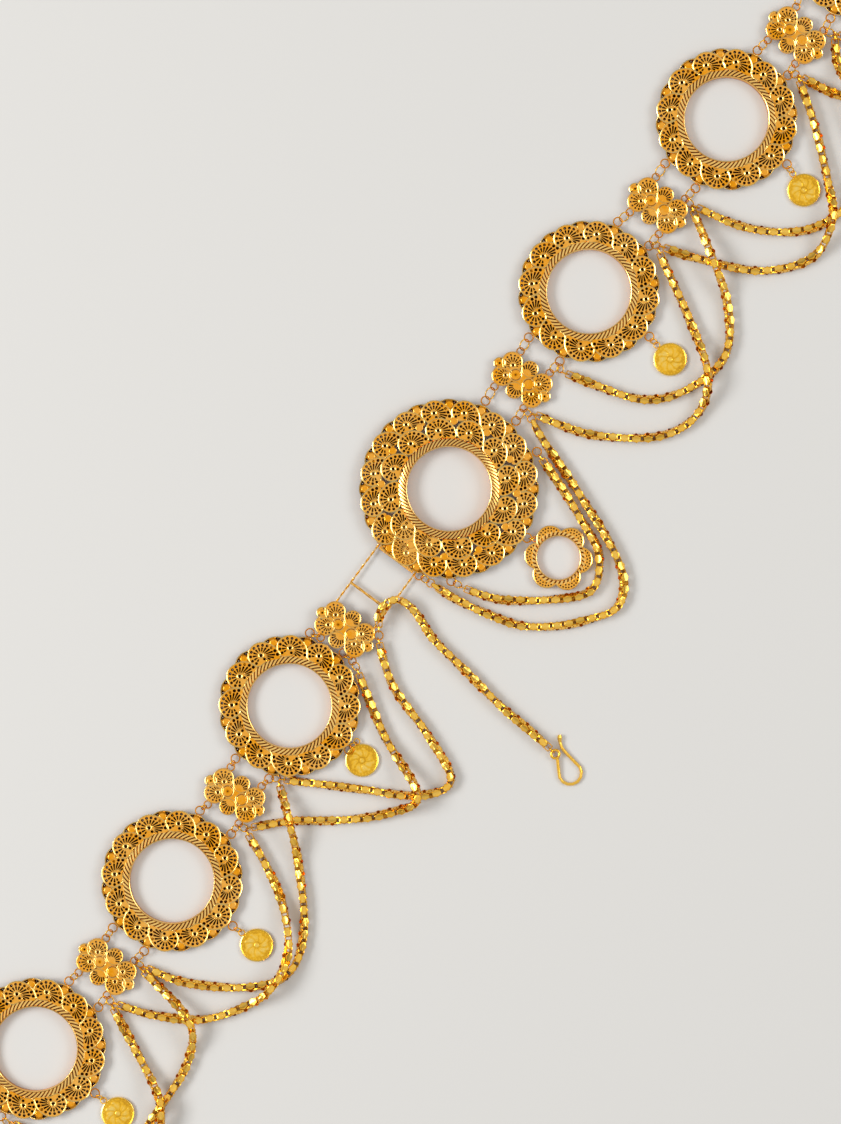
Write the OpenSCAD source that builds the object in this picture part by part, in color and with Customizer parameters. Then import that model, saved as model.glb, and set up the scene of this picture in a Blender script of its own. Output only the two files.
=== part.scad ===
// Gold filigree coin belt, laid straight with its buckle fastened.
// +X runs along the belt, -Y is the side that hangs down when worn, +Z is up,
// and the origin is the middle of the buckle's coin seat, on the floor.

/* [Coin frames] */
// Radius of the open seat for a large coin, in the buckle and in each medallion
seat_r = 18; // [17.5:0.1:18.2]
// Width of the fluted bezel round each seat
bezel_w = 3.5; // [3.2:0.1:3.6]
// Height of the bezel of a medallion
bezel_h = 3.8; // [3.7:0.1:4.1]
// Outer radius of a medallion, over its rosettes
medallion_r = 30.7; // [30.5:0.1:30.9]
// Outer radius of the buckle, over its outer row of rosettes
buckle_r = 38.3; // [38.1:0.1:38.5]
// Height of the buckle's bezel
buckle_bezel_h = 5.4; // [5.2:0.1:5.8]

/* [Filigree] */
// Thickness of the filigree plates
plate_t = 1.1; // [1:0.05:1.2]
// Height of the medallions' and connectors' plates over the floor
plate_z = 1.7; // [1.65:0.05:1.75]
// Height of the buckle's plate, over the box for the tongue
buckle_plate_z = 2.45; // [2.4:0.05:2.5]
// How far the rim wires, eyelets and granules stand over a plate
relief_h = 0.5; // [0.4:0.05:0.6]
// Width of the rim wires
rim_w = 0.5; // [0.45:0.05:0.6]
// Radius of the round granules between rosettes
granule_r = 1.7; // [1.6:0.05:1.75]

/* [Rings and chains] */
// Radius of the wire of the jump rings
wire_r = 0.26; // [0.24:0.01:0.26]
// Mean radius of the rings soldered to the medallions, and of the chain rings
ring_r = 1.88; // [1.86:0.01:1.9]
// Mean radius of the rings soldered to the connectors
small_ring_r = 1.58; // [1.56:0.01:1.6]
// Free play between two linked rings
play = 0.22; // [0.2:0.01:0.24]
// Length of a chain link
link_l = 4.1; // [4.05:0.01:4.12]
// Width of a chain link, and so of the chain
link_w = 3.9; // [3.88:0.01:3.92]
// Width of the band that a chain link is bent from
band_w = 2.38; // [2.38:0.02:2.46]
// Thickness of that band
band_t = 0.42; // [0.4:0.01:0.42]
// Distance between two links' middles
link_pitch = 2.5; // [2.48:0.01:2.52]

/* [Coins, flower and hook] */
// Radius of a coin drop
coin_r = 7.1; // [7:0.05:7.15]
// Thickness of a coin drop, over its rim
coin_t = 1.3; // [1.2:0.05:1.3]
// Radius of the open seat in the flower
flower_seat_r = 9.25; // [9.2:0.05:9.3]
// Radius of the wire of the hook
hook_wire_r = 0.65; // [0.6:0.01:0.66]

/* [Clasp] */
// Radius of the two long wires of the tongue
rail_r = 0.5; // [0.45:0.01:0.52]
// Distance from the belt's middle line to each of them
rail_y = 9.9; // [9.8:0.05:10]
// Thickness of the sheet of the box
box_t = 0.35; // [0.3:0.05:0.4]

/* [Hidden] */
$fn = 48;

gold = "goldenrod";
pale_gold = "gold";
red_gold = "darkgoldenrod";

// Medallions from the lower end of the belt to its upper end: middle x, middle y, turn.
medallions = [
  [-298.9, -0.9, -5],
  [-206.0, -5.0, 0],
  [-115.6, -0.6, 6],
  [103.8, 2.4, -1],
  [198.4, -0.9, -2.6],
  [291.5, -3.5, -2]];
// Connectors in the same order: middle x, middle y, turn. The third carries the tongue.
connectors = [
  [-252.4, -4.4, -2],
  [-160.5, -4.7, 5],
  [-75.1, -0.1, 0],
  [56.3, 2.8, 0],
  [151.0, 0.8, 0],
  [245.1, -3.2, -4]];
tongue_no = 3;
// The tongue's connector rides higher, over the rings of the medallion beside it.
tongue_plate_z = 2.7;

ring_z = plate_z + plate_t / 2;
buckle_ring_z = buckle_plate_z + 0.1;
// Its rings lie on top of it.
tongue_ring_z = tongue_plate_z + plate_t + 0.2;
// A soldered ring bites this far into the rim that holds it.
solder = 0.4;
medallion_ring_d = medallion_r + ring_r + wire_r - solder;
buckle_lip = 0.9;
buckle_ring_d = buckle_r + buckle_lip + ring_r + wire_r - solder;
granule_turn = 15;

// Rings of a connector, from its middle, for the four corners in turn.
corner_x = 9.4;
corner_y = 7.8;
// The tongue's connector has its left rings and its chain ring in other places.
tongue_upper = [-9.0, 6.2];
tongue_lower = [-8.9, -10.7];
tongue_chain_ring = [6.6, -13.2];

function polar(d, a) = [d * cos(a), d * sin(a)];
function turned(p, a) = [p[0] * cos(a) - p[1] * sin(a), p[0] * sin(a) + p[1] * cos(a)];
function at_height(p, z) = [p[0], p[1], z];

// side is 1 towards +X and -1 towards -X, strand is 1 for the upper and -1 for the lower strand.
function medallion_ring(no, side, strand) =
  let (m = medallions[no - 1], a = m[2] + (side > 0 ? strand * granule_turn : 180 - strand * granule_turn))
  at_height([m[0], m[1]] + polar(medallion_ring_d, a), ring_z);
function connector_ring(no, side, strand) =
  let (c = connectors[no - 1])
  no == tongue_no
  ? at_height([c[0], c[1]] + (strand > 0 ? tongue_upper : tongue_lower), tongue_ring_z)
  : at_height([c[0], c[1]] + turned([side * corner_x, strand * corner_y], c[2]), ring_z);

// The buckle's soldered rings: distance from its middle and angle. Two lead to the next
// connector, one holds the inner swag's start, one the flower, two the swags' far ends.
buckle_rings = [[buckle_ring_d, 14.1], [buckle_ring_d, -7.9], [buckle_ring_d, -30.5], [39.6, -85.5], [39.3, 197.5],
  [39.6, 218]];
// The fifth rides over the tongue's wire.
function buckle_ring(i) = at_height(polar(buckle_rings[i][0], buckle_rings[i][1]), buckle_ring_z + (i == 4 ? 0.25 : 0));
flower_pos = [4.3, -55.4];
flower_turn = 1;
flower_ring_a = 88;

// Coin drops: x and y of the middle, and the angle of the ring on the coin.
coins = [
  [-300.3, -46.0, 84],
  [-206.6, -50.7, 87],
  [-115.9, -39.6, 52],
  [101.4, -43.0, 80],
  [194.0, -45.7, 71],
  [287.2, -48.4, 71]];
coin_ring_r = 1.3;
coin_ring_z = 1.25;
coin_ring_d = coin_r + coin_ring_r;
// The ring for the drop is straight below, nearer where the rosette there is turned away.
function drop_d(turn) = medallion_ring_d - 0.02 * turn * turn;
function drop_ring(i) =
  let (m = medallions[i])
  at_height([m[0], m[1] - drop_d(m[2])], ring_z);
function coin_ring(i) = at_height([coins[i][0], coins[i][1]] + polar(coin_ring_d, coins[i][2]), coin_ring_z);

// A closed ring of round wire, flat, round the origin.
module ring(r, w = wire_r) {
  rotate_extrude() translate([r, 0]) circle(r = w, $fn = 20);
}

// Puts what is drawn along +X at p, pointing along d, rolled by lean round d.
module along(p, d, lean = 0) {
  flat = norm([d[0], d[1]]);
  translate(p) rotate([0, 0, atan2(d[1], d[0])]) rotate([0, -atan2(d[2], flat), 0]) rotate([lean, 0, 0])
    children();
}

// The loose ring that joins ring a to ring b, taut but for the play. It goes round the
// nearest points of their wires.
module joining_ring(a, ra, b, rb, lean) {
  flat = [b[0] - a[0], b[1] - a[1], 0];
  h = flat / norm(flat);
  from = a + ra * h;
  to = b - rb * h;
  along((from + to) / 2, to - from, lean) ring(norm(to - from) / 2 + 2 * wire_r + play);
}

function hung(p, rp, az, r = ring_r) = p + at_height(polar(rp + r - 2 * wire_r - play, az), 0);

// A loose ring of radius r hung on ring p in the direction az.
module hung_ring(p, rp, az, lean, r = ring_r) {
  along(hung(p, rp, az, r), [cos(az), sin(az), 0], lean) ring(r);
}

// Filigree plates: a flat layer of the outline less its piercings, with raised
// rim wires and granules.
module rosette_rim(r) {
  difference() {
    circle(r = r);
    circle(r = r - rim_w);
  }
}

// Piercings of one rosette: an eyelet and a fan of slots, the longest towards +X.
module rosette_gaps(eye_r, slot_n, slot_in, slot_out, slot_w, fan_a) {
  circle(r = eye_r, $fn = 20);
  for (i = [0 : slot_n - 1])
    rotate([0, 0, fan_a * (i - (slot_n - 1) / 2)])
      translate([slot_in, -slot_w / 2]) square([slot_out - slot_in, slot_w]);
}

// One row of n rosettes on radius d, with granules between them on radius gd.
module row_outline(n, d, r, a0, gd, gr, ga) {
  for (k = [0 : n - 1]) {
    rotate([0, 0, a0 + k * 360 / n]) translate([d, 0]) circle(r = r);
    rotate([0, 0, ga + k * 360 / n]) translate([gd, 0]) circle(r = gr);
  }
}

module row_relief(n, d, r, a0, gd, ga) {
  for (k = [0 : n - 1]) {
    rotate([0, 0, a0 + k * 360 / n]) translate([d, 0]) rosette_rim(r);
    rotate([0, 0, ga + k * 360 / n]) translate([gd, 0]) circle(r = granule_r);
  }
}

// The fan opens away from the seat and clockwise, as the real one is laid.
module row_gaps(n, d, a0, slot_n, slot_out) {
  for (k = [0 : n - 1])
    rotate([0, 0, a0 + k * 360 / n]) translate([d, 0]) rotate([0, 0, -60])
      rosette_gaps(0.6, slot_n, 1.5, slot_out, 0.45, 34);
}

module bezel(r, w, h) {
  difference() {
    union() {
      cylinder(h = h - 0.8, r = r + w);
      translate([0, 0, h - 0.8]) cylinder(h = 0.8, r1 = r + w, r2 = r + 0.9);
    }
    translate([0, 0, -1]) cylinder(h = h + 2, r = r);
  }
}

rosette_d = 24.9;
rosette_r = 5.8;
granule_d = 28.2;
medallion_slots = 6;

module medallion(no) {
  m = medallions[no - 1];
  color(gold) translate([m[0], m[1], 0]) rotate([0, 0, m[2]]) {
    bezel(seat_r, bezel_w, bezel_h);
    translate([0, 0, plate_z]) linear_extrude(plate_t) difference() {
      union() {
        circle(r = 27);
        row_outline(12, rosette_d, rosette_r, 0, granule_d, 2.4, granule_turn);
      }
      circle(r = seat_r + 1);
      row_gaps(12, rosette_d, 0, medallion_slots, 4.2);
    }
    translate([0, 0, plate_z + plate_t - 0.1]) linear_extrude(relief_h + 0.1) difference() {
      row_relief(12, rosette_d, rosette_r, 0, granule_d, granule_turn);
      circle(r = seat_r + 1);
    }
    for (side = [0, 180], a = [-granule_turn, granule_turn])
      rotate([0, 0, side + a]) translate([medallion_ring_d, 0, ring_z]) ring(ring_r);
    rotate([0, 0, -90 - m[2]]) translate([drop_d(m[2]), 0, ring_z]) ring(ring_r);
  }
}

// Outline of a connector: four rosettes, two lobes on the waist, two at the ends.
con_rosette = [3.6, 7.9];
con_rosette_r = 4.6;
waist_x = 5.6;
waist_r = 3.7;
end_y = 12.0;
end_r = 2.7;
dome_y = 3.4;
dome_r = 2.4;

module connector_body(z) {
  translate([0, 0, z]) linear_extrude(plate_t) difference() {
    union() {
      square([2 * con_rosette[0], 2 * con_rosette[1]], center = true);
      for (sx = [-1, 1], sy = [-1, 1])
        translate([sx * con_rosette[0], sy * con_rosette[1]]) circle(r = con_rosette_r);
      for (s = [-1, 1]) {
        translate([s * waist_x, 0]) circle(r = waist_r);
        translate([0, s * end_y]) circle(r = end_r);
      }
    }
    for (sx = [-1, 1], sy = [-1, 1])
      translate([sx * con_rosette[0] * 0.8, sy * con_rosette[1] * 0.85])
        rotate([0, 0, atan2(sy * 0.8, sx)]) rosette_gaps(0.55, 5, 2.2, 4.1, 0.4, 30);
    for (s = [-1, 1])
      translate([s * (waist_x - 1.2), 0]) rotate([0, 0, s > 0 ? 0 : 180]) rosette_gaps(0.4, 3, 1.6, 3.3, 0.4, 32);
  }
  translate([0, 0, z + plate_t - 0.1]) linear_extrude(relief_h + 0.1) {
    for (sx = [-1, 1], sy = [-1, 1])
      translate([sx * con_rosette[0], sy * con_rosette[1]]) rosette_rim(con_rosette_r);
    for (s = [-1, 1]) {
      translate([s * waist_x, 0]) rosette_rim(waist_r);
      translate([0, s * end_y]) rosette_rim(end_r);
      translate([0, s * dome_y]) circle(r = dome_r);
    }
  }
}

module connector(no) {
  c = connectors[no - 1];
  color(gold) translate([c[0], c[1], 0]) rotate([0, 0, c[2]]) {
    connector_body(plate_z);
    for (sx = [-1, 1], sy = [-1, 1])
      translate([sx * corner_x, sy * corner_y, ring_z]) ring(small_ring_r);
  }
}

// Tongue: two long wires from the connector, one bar across, ends free in the box.
rail_in_x = -24;
rail_out_x = -70.5;
bar_x = -57.4;
rail_low_z = 1.35;
rail_high_z = tongue_plate_z - 0.1;

module tongue_plate() {
  c = connectors[tongue_no - 1];
  rail_l = norm([rail_in_x - rail_out_x, rail_high_z - rail_low_z]);
  slope = atan2(rail_high_z - rail_low_z, rail_in_x - rail_out_x);
  bar_z = rail_low_z + (rail_in_x - bar_x) * tan(slope);
  color(pale_gold) {
    translate([c[0], c[1], 0]) {
      connector_body(tongue_plate_z);
      translate(at_height(tongue_upper, tongue_ring_z)) ring(small_ring_r);
      translate(at_height(tongue_lower, tongue_ring_z)) ring(small_ring_r);
      translate(at_height(tongue_chain_ring, tongue_ring_z)) ring(ring_r);
    }
    for (s = [-1, 1])
      translate([rail_in_x, s * rail_y, rail_low_z]) rotate([0, slope - 90, 0]) cylinder(h = rail_l, r = rail_r);
    translate([bar_x, -rail_y, bar_z]) rotate([-90, 0, 0]) cylinder(h = 2 * rail_y, r = rail_r + 0.15);
  }
}

// Buckle: a bezel, two rows of rosettes, and behind them a flat box, open on the left.
outer_d = 32.9;
outer_rosette_r = 5.4;
outer_granule_d = 36.2;
inner_d = 25.6;
inner_rosette_r = 5.2;
inner_granule_d = 29.2;
outer_turn = 2.9;
inner_turn = 17.1;
box_in_y = 10.9;
box_mouth_x = -36.9;
box_back_x = -22.2;
lip_x = -38.6;
lip_y = 9;

module buckle_plate_outline() {
  difference() {
    union() {
      circle(r = 34.5);
      row_outline(16, outer_d, outer_rosette_r, outer_turn, outer_granule_d, buckle_r + buckle_lip - outer_granule_d,
        outer_turn + 11.2);
    }
    // The mouth is cut straight across the rosettes.
    translate([-60, -lip_y]) square([60 + lip_x, 2 * lip_y]);
  }
}

module buckle() {
  color(gold) {
    bezel(seat_r, bezel_w + 0.3, buckle_bezel_h);
    translate([0, 0, buckle_plate_z]) linear_extrude(plate_t) difference() {
      buckle_plate_outline();
      circle(r = seat_r + 1);
      row_gaps(16, outer_d, outer_turn, 2, 3.9);
      row_gaps(12, inner_d, inner_turn, 3, 3.9);
    }
    translate([0, 0, buckle_plate_z + plate_t - 0.1]) linear_extrude(relief_h + 0.1) difference() {
      intersection() {
        row_relief(16, outer_d, outer_rosette_r, outer_turn, outer_granule_d, outer_turn + 11.2);
        buckle_plate_outline();
      }
      circle(r = seat_r + 1);
    }
    translate([0, 0, buckle_plate_z + plate_t - 0.1]) linear_extrude(relief_h + 0.3) difference() {
      row_relief(12, inner_d, inner_rosette_r, inner_turn, inner_granule_d, inner_turn - 14.5);
      circle(r = seat_r + 1);
    }
    for (i = [0 : 5])
      translate(buckle_ring(i)) ring(ring_r);
    tongue_box();
  }
}

module tongue_box() {
  outer_y = box_in_y + box_t;
  difference() {
    translate([box_mouth_x, -outer_y, 0]) cube([box_back_x - box_mouth_x, 2 * outer_y, buckle_plate_z + 0.2]);
    translate([box_mouth_x - 1, -box_in_y, box_t])
      cube([box_back_x - box_mouth_x + 1 - box_t, 2 * box_in_y, buckle_plate_z - box_t]);
  }
  translate([lip_x, -lip_y, buckle_plate_z]) cube([box_back_x - lip_x, 2 * lip_y, plate_t - 0.3]);
}

// Coin drop: a thin disc with a raised rim and a plain eight-leaved rosette.
module coin(no) {
  c = coins[no - 1];
  color(pale_gold) translate([c[0], c[1], 0]) rotate([0, 0, c[2]]) {
    cylinder(h = coin_t - 0.3, r = coin_r);
    translate([0, 0, coin_t - 0.4]) linear_extrude(0.4) difference() {
      circle(r = coin_r);
      circle(r = coin_r - 0.6);
    }
    translate([0, 0, coin_t - 0.4]) linear_extrude(0.3) {
      circle(r = 1.2, $fn = 24);
      for (k = [0 : 7])
        rotate([0, 0, 45 * k]) translate([3, 0]) circle(r = 1, $fn = 24);
    }
    translate([coin_ring_d, 0, coin_ring_z]) ring(coin_ring_r);
  }
}

// Flower drop: an open seat with a rope bezel in six pierced petals.
petal_d = 8.8;
petal_r = 5.9;
flower_z = 0.9;

module flower() {
  color(gold) translate([flower_pos[0], flower_pos[1], 0]) rotate([0, 0, flower_turn]) {
    bezel(flower_seat_r, 1.9, 2.9);
    translate([0, 0, flower_z]) linear_extrude(plate_t) difference() {
      for (k = [0 : 5])
        rotate([0, 0, 60 * k]) translate([petal_d, 0]) circle(r = petal_r);
      circle(r = flower_seat_r + 0.8);
      for (k = [0 : 5], i = [-2 : 2])
        rotate([0, 0, 60 * k]) translate([petal_d, 0]) rotate([0, 0, 34 * i]) translate([4.3, 0]) circle(r = 0.5, $fn = 20);
    }
    translate([0, 0, flower_z + plate_t - 0.1]) linear_extrude(relief_h + 0.1) difference() {
      for (k = [0 : 5])
        rotate([0, 0, 60 * k]) translate([petal_d, 0]) rosette_rim(petal_r);
      circle(r = flower_seat_r + 0.8);
    }
    rotate([0, 0, flower_ring_a - flower_turn]) translate([flower_ring_d, 0, flower_ring_z]) ring(flower_ring_r);
  }
}
flower_ring_r = 1.1;
flower_ring_d = 13;
flower_ring_z = 1.45;
function flower_ring() = at_height(flower_pos + polar(flower_ring_d, flower_ring_a), flower_ring_z);

// Chains of real links: a band bent to a rounded square, each a quarter turn from the next.
corner = 0.75;
function rounded_square(l, w, c) = [
  for (q = [[1, 1], [-1, 1], [-1, -1], [1, -1]])
    let (x = l / 2, y = w / 2, along_x = q[0] * q[1] > 0)
    for (f = along_x ? [[0, c], [0.3 * c, 0.3 * c], [c, 0]] : [[c, 0], [0.3 * c, 0.3 * c], [0, c]])
      [q[0] * (x - f[0]), q[1] * (y - f[1])]];

module chain_link(width) {
  outline = rounded_square(link_l, link_w, corner);
  hole = rounded_square(link_l - 2 * band_t, link_w - 2 * band_t, corner * 0.7);
  linear_extrude(width, center = true)
    polygon(concat(outline, hole), [[for (i = [0 : 11]) i], [for (i = [0 : 11]) 12 + i]]);
}

// A smooth curve through points p, sampled in equal parts of each span. Its height eases
// from point to point, so that it never dips below them.
function spline_point(p, i, t) =
  let (
    n = len(p), a = p[max(i - 1, 0)], b = p[i], c = p[min(i + 1, n - 1)], d = p[min(i + 2, n - 1)],
    q = 0.5 * (2 * b + t * (c - a) + t * t * (2 * a - 5 * b + 4 * c - d) + t * t * t * (3 * b - a - 3 * c + d)))
  [q[0], q[1], b[2] + (c[2] - b[2]) * t * t * (3 - 2 * t)];
span_parts = 12;
function curve(p) = [
  for (i = [0 : len(p) - 2], j = [0 : span_parts - 1]) spline_point(p, i, j / span_parts),
  p[len(p) - 1]];
function lengths(c, i = 0, s = 0) =
  i == len(c) - 1 ? [s] : concat([s], lengths(c, i + 1, s + norm(c[i + 1] - c[i])));
function span_of(l, s, i = 0) = i >= len(l) - 2 || l[i + 1] >= s ? i : span_of(l, s, i + 1);
function at_length(c, l, s) =
  let (i = span_of(l, s)) c[i] + (c[i + 1] - c[i]) * (s - l[i]) / (l[i + 1] - l[i]);

// Links along route p. The first and last are round rings, which hold the rings at the ends.
// The first one may be rolled by first_turn, and then the link in it is narrower.
end_ring_r = 1.9;
end_step = 2.5;
module link_chain(p, first_lean, last_lean, first_turn = 0) {
  c = curve(p);
  l = lengths(c);
  total = l[len(l) - 1];
  fits = floor((total - 2 * end_step) / link_pitch) + 1;
  // The last link stands across the last ring, as the first does across the first.
  wanted = first_lean == last_lean ? 1 : 0;
  n = fits - (fits % 2 == wanted ? 0 : 1);
  step = (total - 2 * end_step) / (n - 1);
  along(p[0], c[1] - c[0], first_lean + first_turn) ring(end_ring_r);
  for (i = [0 : n - 1]) {
    s = end_step + i * step;
    before = at_length(c, l, s - 0.9);
    after = at_length(c, l, s + 0.9);
    ends = i == 0 || i == n - 1;
    lean = first_lean + 90 + 90 * i;
    along((before + after) / 2, after - before, lean)
      chain_link(!ends ? band_w : i == 0 && first_turn != 0 ? 1.5 : 2.1);
  }
  along(p[len(p) - 1], c[len(c) - 1] - c[len(c) - 2], last_lean) ring(end_ring_r);
}

// Routes of the linked chains: x, y, z of hand-set points, from ring to ring.
floor_z = 2.05;
outer_route = [
  [45.3, -10.4, 2.2], [41, -19.5, floor_z], [36, -34, floor_z], [31, -48, floor_z], [24, -66, floor_z],
  [17, -79, floor_z], [10, -86, floor_z], [1, -88, floor_z], [-8, -82.5, floor_z], [-19, -73, floor_z],
  [-28.5, -60, floor_z], [-33, -46, floor_z], [-36.3, -31, floor_z], [-37.2, -17.8, 2.8]];
inner_route = [
  [34.2, -23.7, 2.6], [32.6, -28.5, floor_z], [28.6, -40, floor_z], [23.6, -52.5, floor_z], [21.3, -58.5, floor_z],
  [17, -67.3, floor_z], [9.4, -73.2, floor_z], [2.6, -75, floor_z], [-4.2, -71.6, floor_z], [-16, -58.8, floor_z],
  [-24.5, -47, floor_z], [-28, -39, floor_z], [-30.4, -30.3, 2.6]];
// The free chain rises over the tongue's lower wire and its bar, and back over the wire.
safety_route = [
  [-66.1, -11.6, 4.2], [-61.2, -8.3, 5.2], [-56, -7.8, 5.3], [-51.6, -10.2, 5.1], [-50.4, -15.6, 4.0],
  [-51.9, -23, 2.3], [-55.6, -33, floor_z], [-58.7, -53, floor_z], [-61.5, -73, floor_z],
  [-62.7, -92, floor_z], [-63.75, -102.2, 2.2]];

// Swags whose fine links are too many to cut here: plain tubes on the same routes.
tube_r = link_w / 2;
tube_sides = 8;
over_z = 7.2;
low_z = 2.0;
// Each route has x, y and z of its rings, from the holder nearer the belt's upper end.
swag_routes = [
  // 1: inner end swag at the upper end
  [[256.5, -17.6, low_z], [259.5, -37, low_z], [272, -57, low_z], [294, -60.5, low_z], [312, -42, low_z],
    [321.6, -19, low_z]],
  // 2: outer end swag at the upper end
  [[232.6, -17.2, low_z], [235.8, -34, low_z], [249, -56, low_z], [273, -71, low_z], [300, -65.5, low_z],
    [319.5, -43, low_z], [325.6, -19, low_z]],
  // 3: crosses the second
  [[254.3, -17.6, low_z], [246, -24.8, 2.8], [237.7, -37.1, over_z], [219, -56.5, low_z], [200, -64.3, low_z],
    [180.5, -56.6, low_z], [166.5, -36, low_z], [160.6, -14.2, low_z]],
  // 4: crosses the third
  [[230.4, -16.4, low_z], [218.5, -33.5, low_z], [203, -51.5, 2.6], [190.8, -62.6, 7.4], [173, -66, 2.4],
    [155, -51.5, low_z], [142.4, -25, low_z], [138.8, -13, low_z]],
  // 5: crosses the fourth
  [[158.4, -13, low_z], [146, -32.4, over_z], [134.5, -49, 2.4], [117, -61, low_z], [97, -57.4, low_z],
    [80, -43, low_z], [69.4, -11, low_z]],
  // 6: crosses the fifth
  [[135, -12.6, low_z], [119.5, -40, low_z], [105.5, -59.6, over_z], [90, -66.5, 2.4], [72, -58.8, low_z],
    [55, -35, low_z], [48.4, -12.4, low_z]],
  // 7: starts on the tongue's chain ring
  [[-71.6, -15.8, low_z], [-82.5, -31.5, low_z], [-90.5, -56.5, low_z], [-100, -75.5, low_z],
    [-113.5, -68, low_z], [-127, -45, low_z], [-142.2, -18.2, low_z]],
  // 8: crosses the seventh
  [[-87.2, -16.9, low_z], [-101.5, -40.5, low_z], [-113.2, -67.6, 7.6], [-126.5, -62.7, 2.4],
    [-142, -47.5, low_z], [-155.3, -30.3, low_z], [-166.8, -19.6, low_z]],
  // 9: crosses the eighth
  [[-145.6, -18, low_z], [-155, -29.8, over_z], [-168.5, -45, 2.2], [-188.5, -62.5, low_z], [-207, -69, low_z],
    [-222, -60, low_z], [-237, -37, low_z], [-242.6, -19.2, low_z]],
  // 10: crosses the ninth
  [[-170.5, -19.6, low_z], [-182.5, -44.5, 2.2], [-199, -62.2, 6.2], [-216, -66.6, 6.8], [-229.5, -63, 2.4],
    [-246, -51, low_z], [-257.5, -32, low_z], [-262.6, -18.2, low_z]],
  // 11: inner end swag at the lower end, crosses the tenth
  [[-245, -18.6, low_z], [-249, -45.8, over_z], [-263, -56.3, 2.4], [-285, -59, low_z], [-305, -57.3, low_z],
    [-323.5, -39, low_z], [-330.2, -12.8, low_z]],
  // 12: outer end swag at the lower end
  [[-265.4, -17.8, low_z], [-275.6, -40, 2.2], [-286, -58.8, over_z], [-303, -66.5, 2.2], [-322, -57.5, low_z],
    [-334.5, -35, low_z], [-334, -13.2, low_z]]];

// One closed tube of the radii r (a list) through the points of p, with the given number of sides.
module tube(p, r, sides) {
  n = len(p);
  rings = [
    for (i = [0 : n - 1])
      let (
        t = p[min(i + 1, n - 1)] - p[max(i - 1, 0)],
        flat = norm([t[0], t[1]]),
        side = [-t[1] / flat, t[0] / flat, 0],
        rise = cross(t / norm(t), side))
      for (k = [0 : sides - 1])
        let (a = 360 * (k + 0.5) / sides)
        p[i] + r[i] / cos(180 / sides) * (cos(a) * side + sin(a) * rise)];
  faces = concat(
    [[for (k = [0 : sides - 1]) k]],
    [for (i = [0 : n - 2], k = [0 : sides - 1])
      let (a = i * sides + k, b = i * sides + (k + 1) % sides)
      [a, a + sides, b + sides, b]],
    [[for (k = [sides - 1 : -1 : 0]) (n - 1) * sides + k]]);
  polyhedron(rings, faces, convexity = 6);
}

module swag(no) {
  p = swag_routes[no - 1];
  n = len(p);
  color(red_gold) tube(p, [for (i = [0 : n - 1]) i == 0 || i == n - 1 ? tube_r / 2 : tube_r], tube_sides);
}

// Loose rings between a medallion and a connector, with the ring that holds two swags.
// Rows: medallion, connector, side of the medallion, whether the holder hangs on the
// medallion's ring (else on the connector's), direction of the holder.
joints = [
  [1, 1, 1, false, 245],
  [2, 1, -1, false, 275],
  [2, 2, 1, false, 265],
  [3, 2, -1, true, 307],
  [3, 3, 1, false, 250],
  [4, 4, -1, true, 221],
  [4, 5, 1, true, 310],
  [5, 5, -1, false, 262],
  [5, 6, 1, true, 315],
  [6, 6, -1, false, 288]];
link_lean = 45;
// Rings that lead to a small or a much higher ring stand more upright.
coin_link_lean = 52;
tongue_link_lean = -70;

module links(no) {
  j = joints[no - 1];
  color(pale_gold) {
    for (strand = [-1, 1])
      joining_ring(medallion_ring(j[0], j[2], strand), ring_r, connector_ring(j[1], -j[2], strand), small_ring_r,
        j[1] == 3 ? tongue_link_lean : link_lean * j[2]);
    host = j[3] ? medallion_ring(j[0], j[2], -1) : connector_ring(j[1], -j[2], -1);
    hung_ring(host, j[3] ? ring_r : small_ring_r, j[4], j[3] ? link_lean * j[2] : -link_lean * j[2]);
  }
}

// The same at the buckle: two strands to the fourth connector, the rings that hold the
// buckle's own swags, and the link of the flower.
module buckle_links() {
  color(pale_gold) {
    joining_ring(buckle_ring(0), ring_r, connector_ring(4, -1, 1), small_ring_r, link_lean);
    joining_ring(buckle_ring(1), ring_r, connector_ring(4, -1, -1), small_ring_r, link_lean);
    hung_ring(connector_ring(4, -1, -1), small_ring_r, 256, -link_lean);
    hung_ring(buckle_ring(4), ring_r, 274, link_lean);
    hung_ring(buckle_ring(5), ring_r, 280, link_lean);
    joining_ring(buckle_ring(3), ring_r, flower_ring(), flower_ring_r, 80);
  }
}

module coin_links() {
  color(pale_gold)
    for (i = [0 : 5])
      joining_ring(drop_ring(i), ring_r, coin_ring(i), coin_ring_r, i == 2 ? -coin_link_lean : coin_link_lean);
}

// The rings at the two ends of the belt that hold its last swags.
module end_rings() {
  color(pale_gold) {
    hung_ring(medallion_ring(6, 1, -1), ring_r, 285, -link_lean);
    hung_ring(medallion_ring(1, -1, -1), ring_r, 255, link_lean);
  }
}

module buckle_swag_outer() {
  color(red_gold) link_chain(outer_route, 0, 0);
}

module buckle_swag_inner() {
  color(red_gold) link_chain(inner_route, 90, 0);
}

module safety_chain() {
  color(red_gold) link_chain(safety_route, 90, 90, -45);
}

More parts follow.
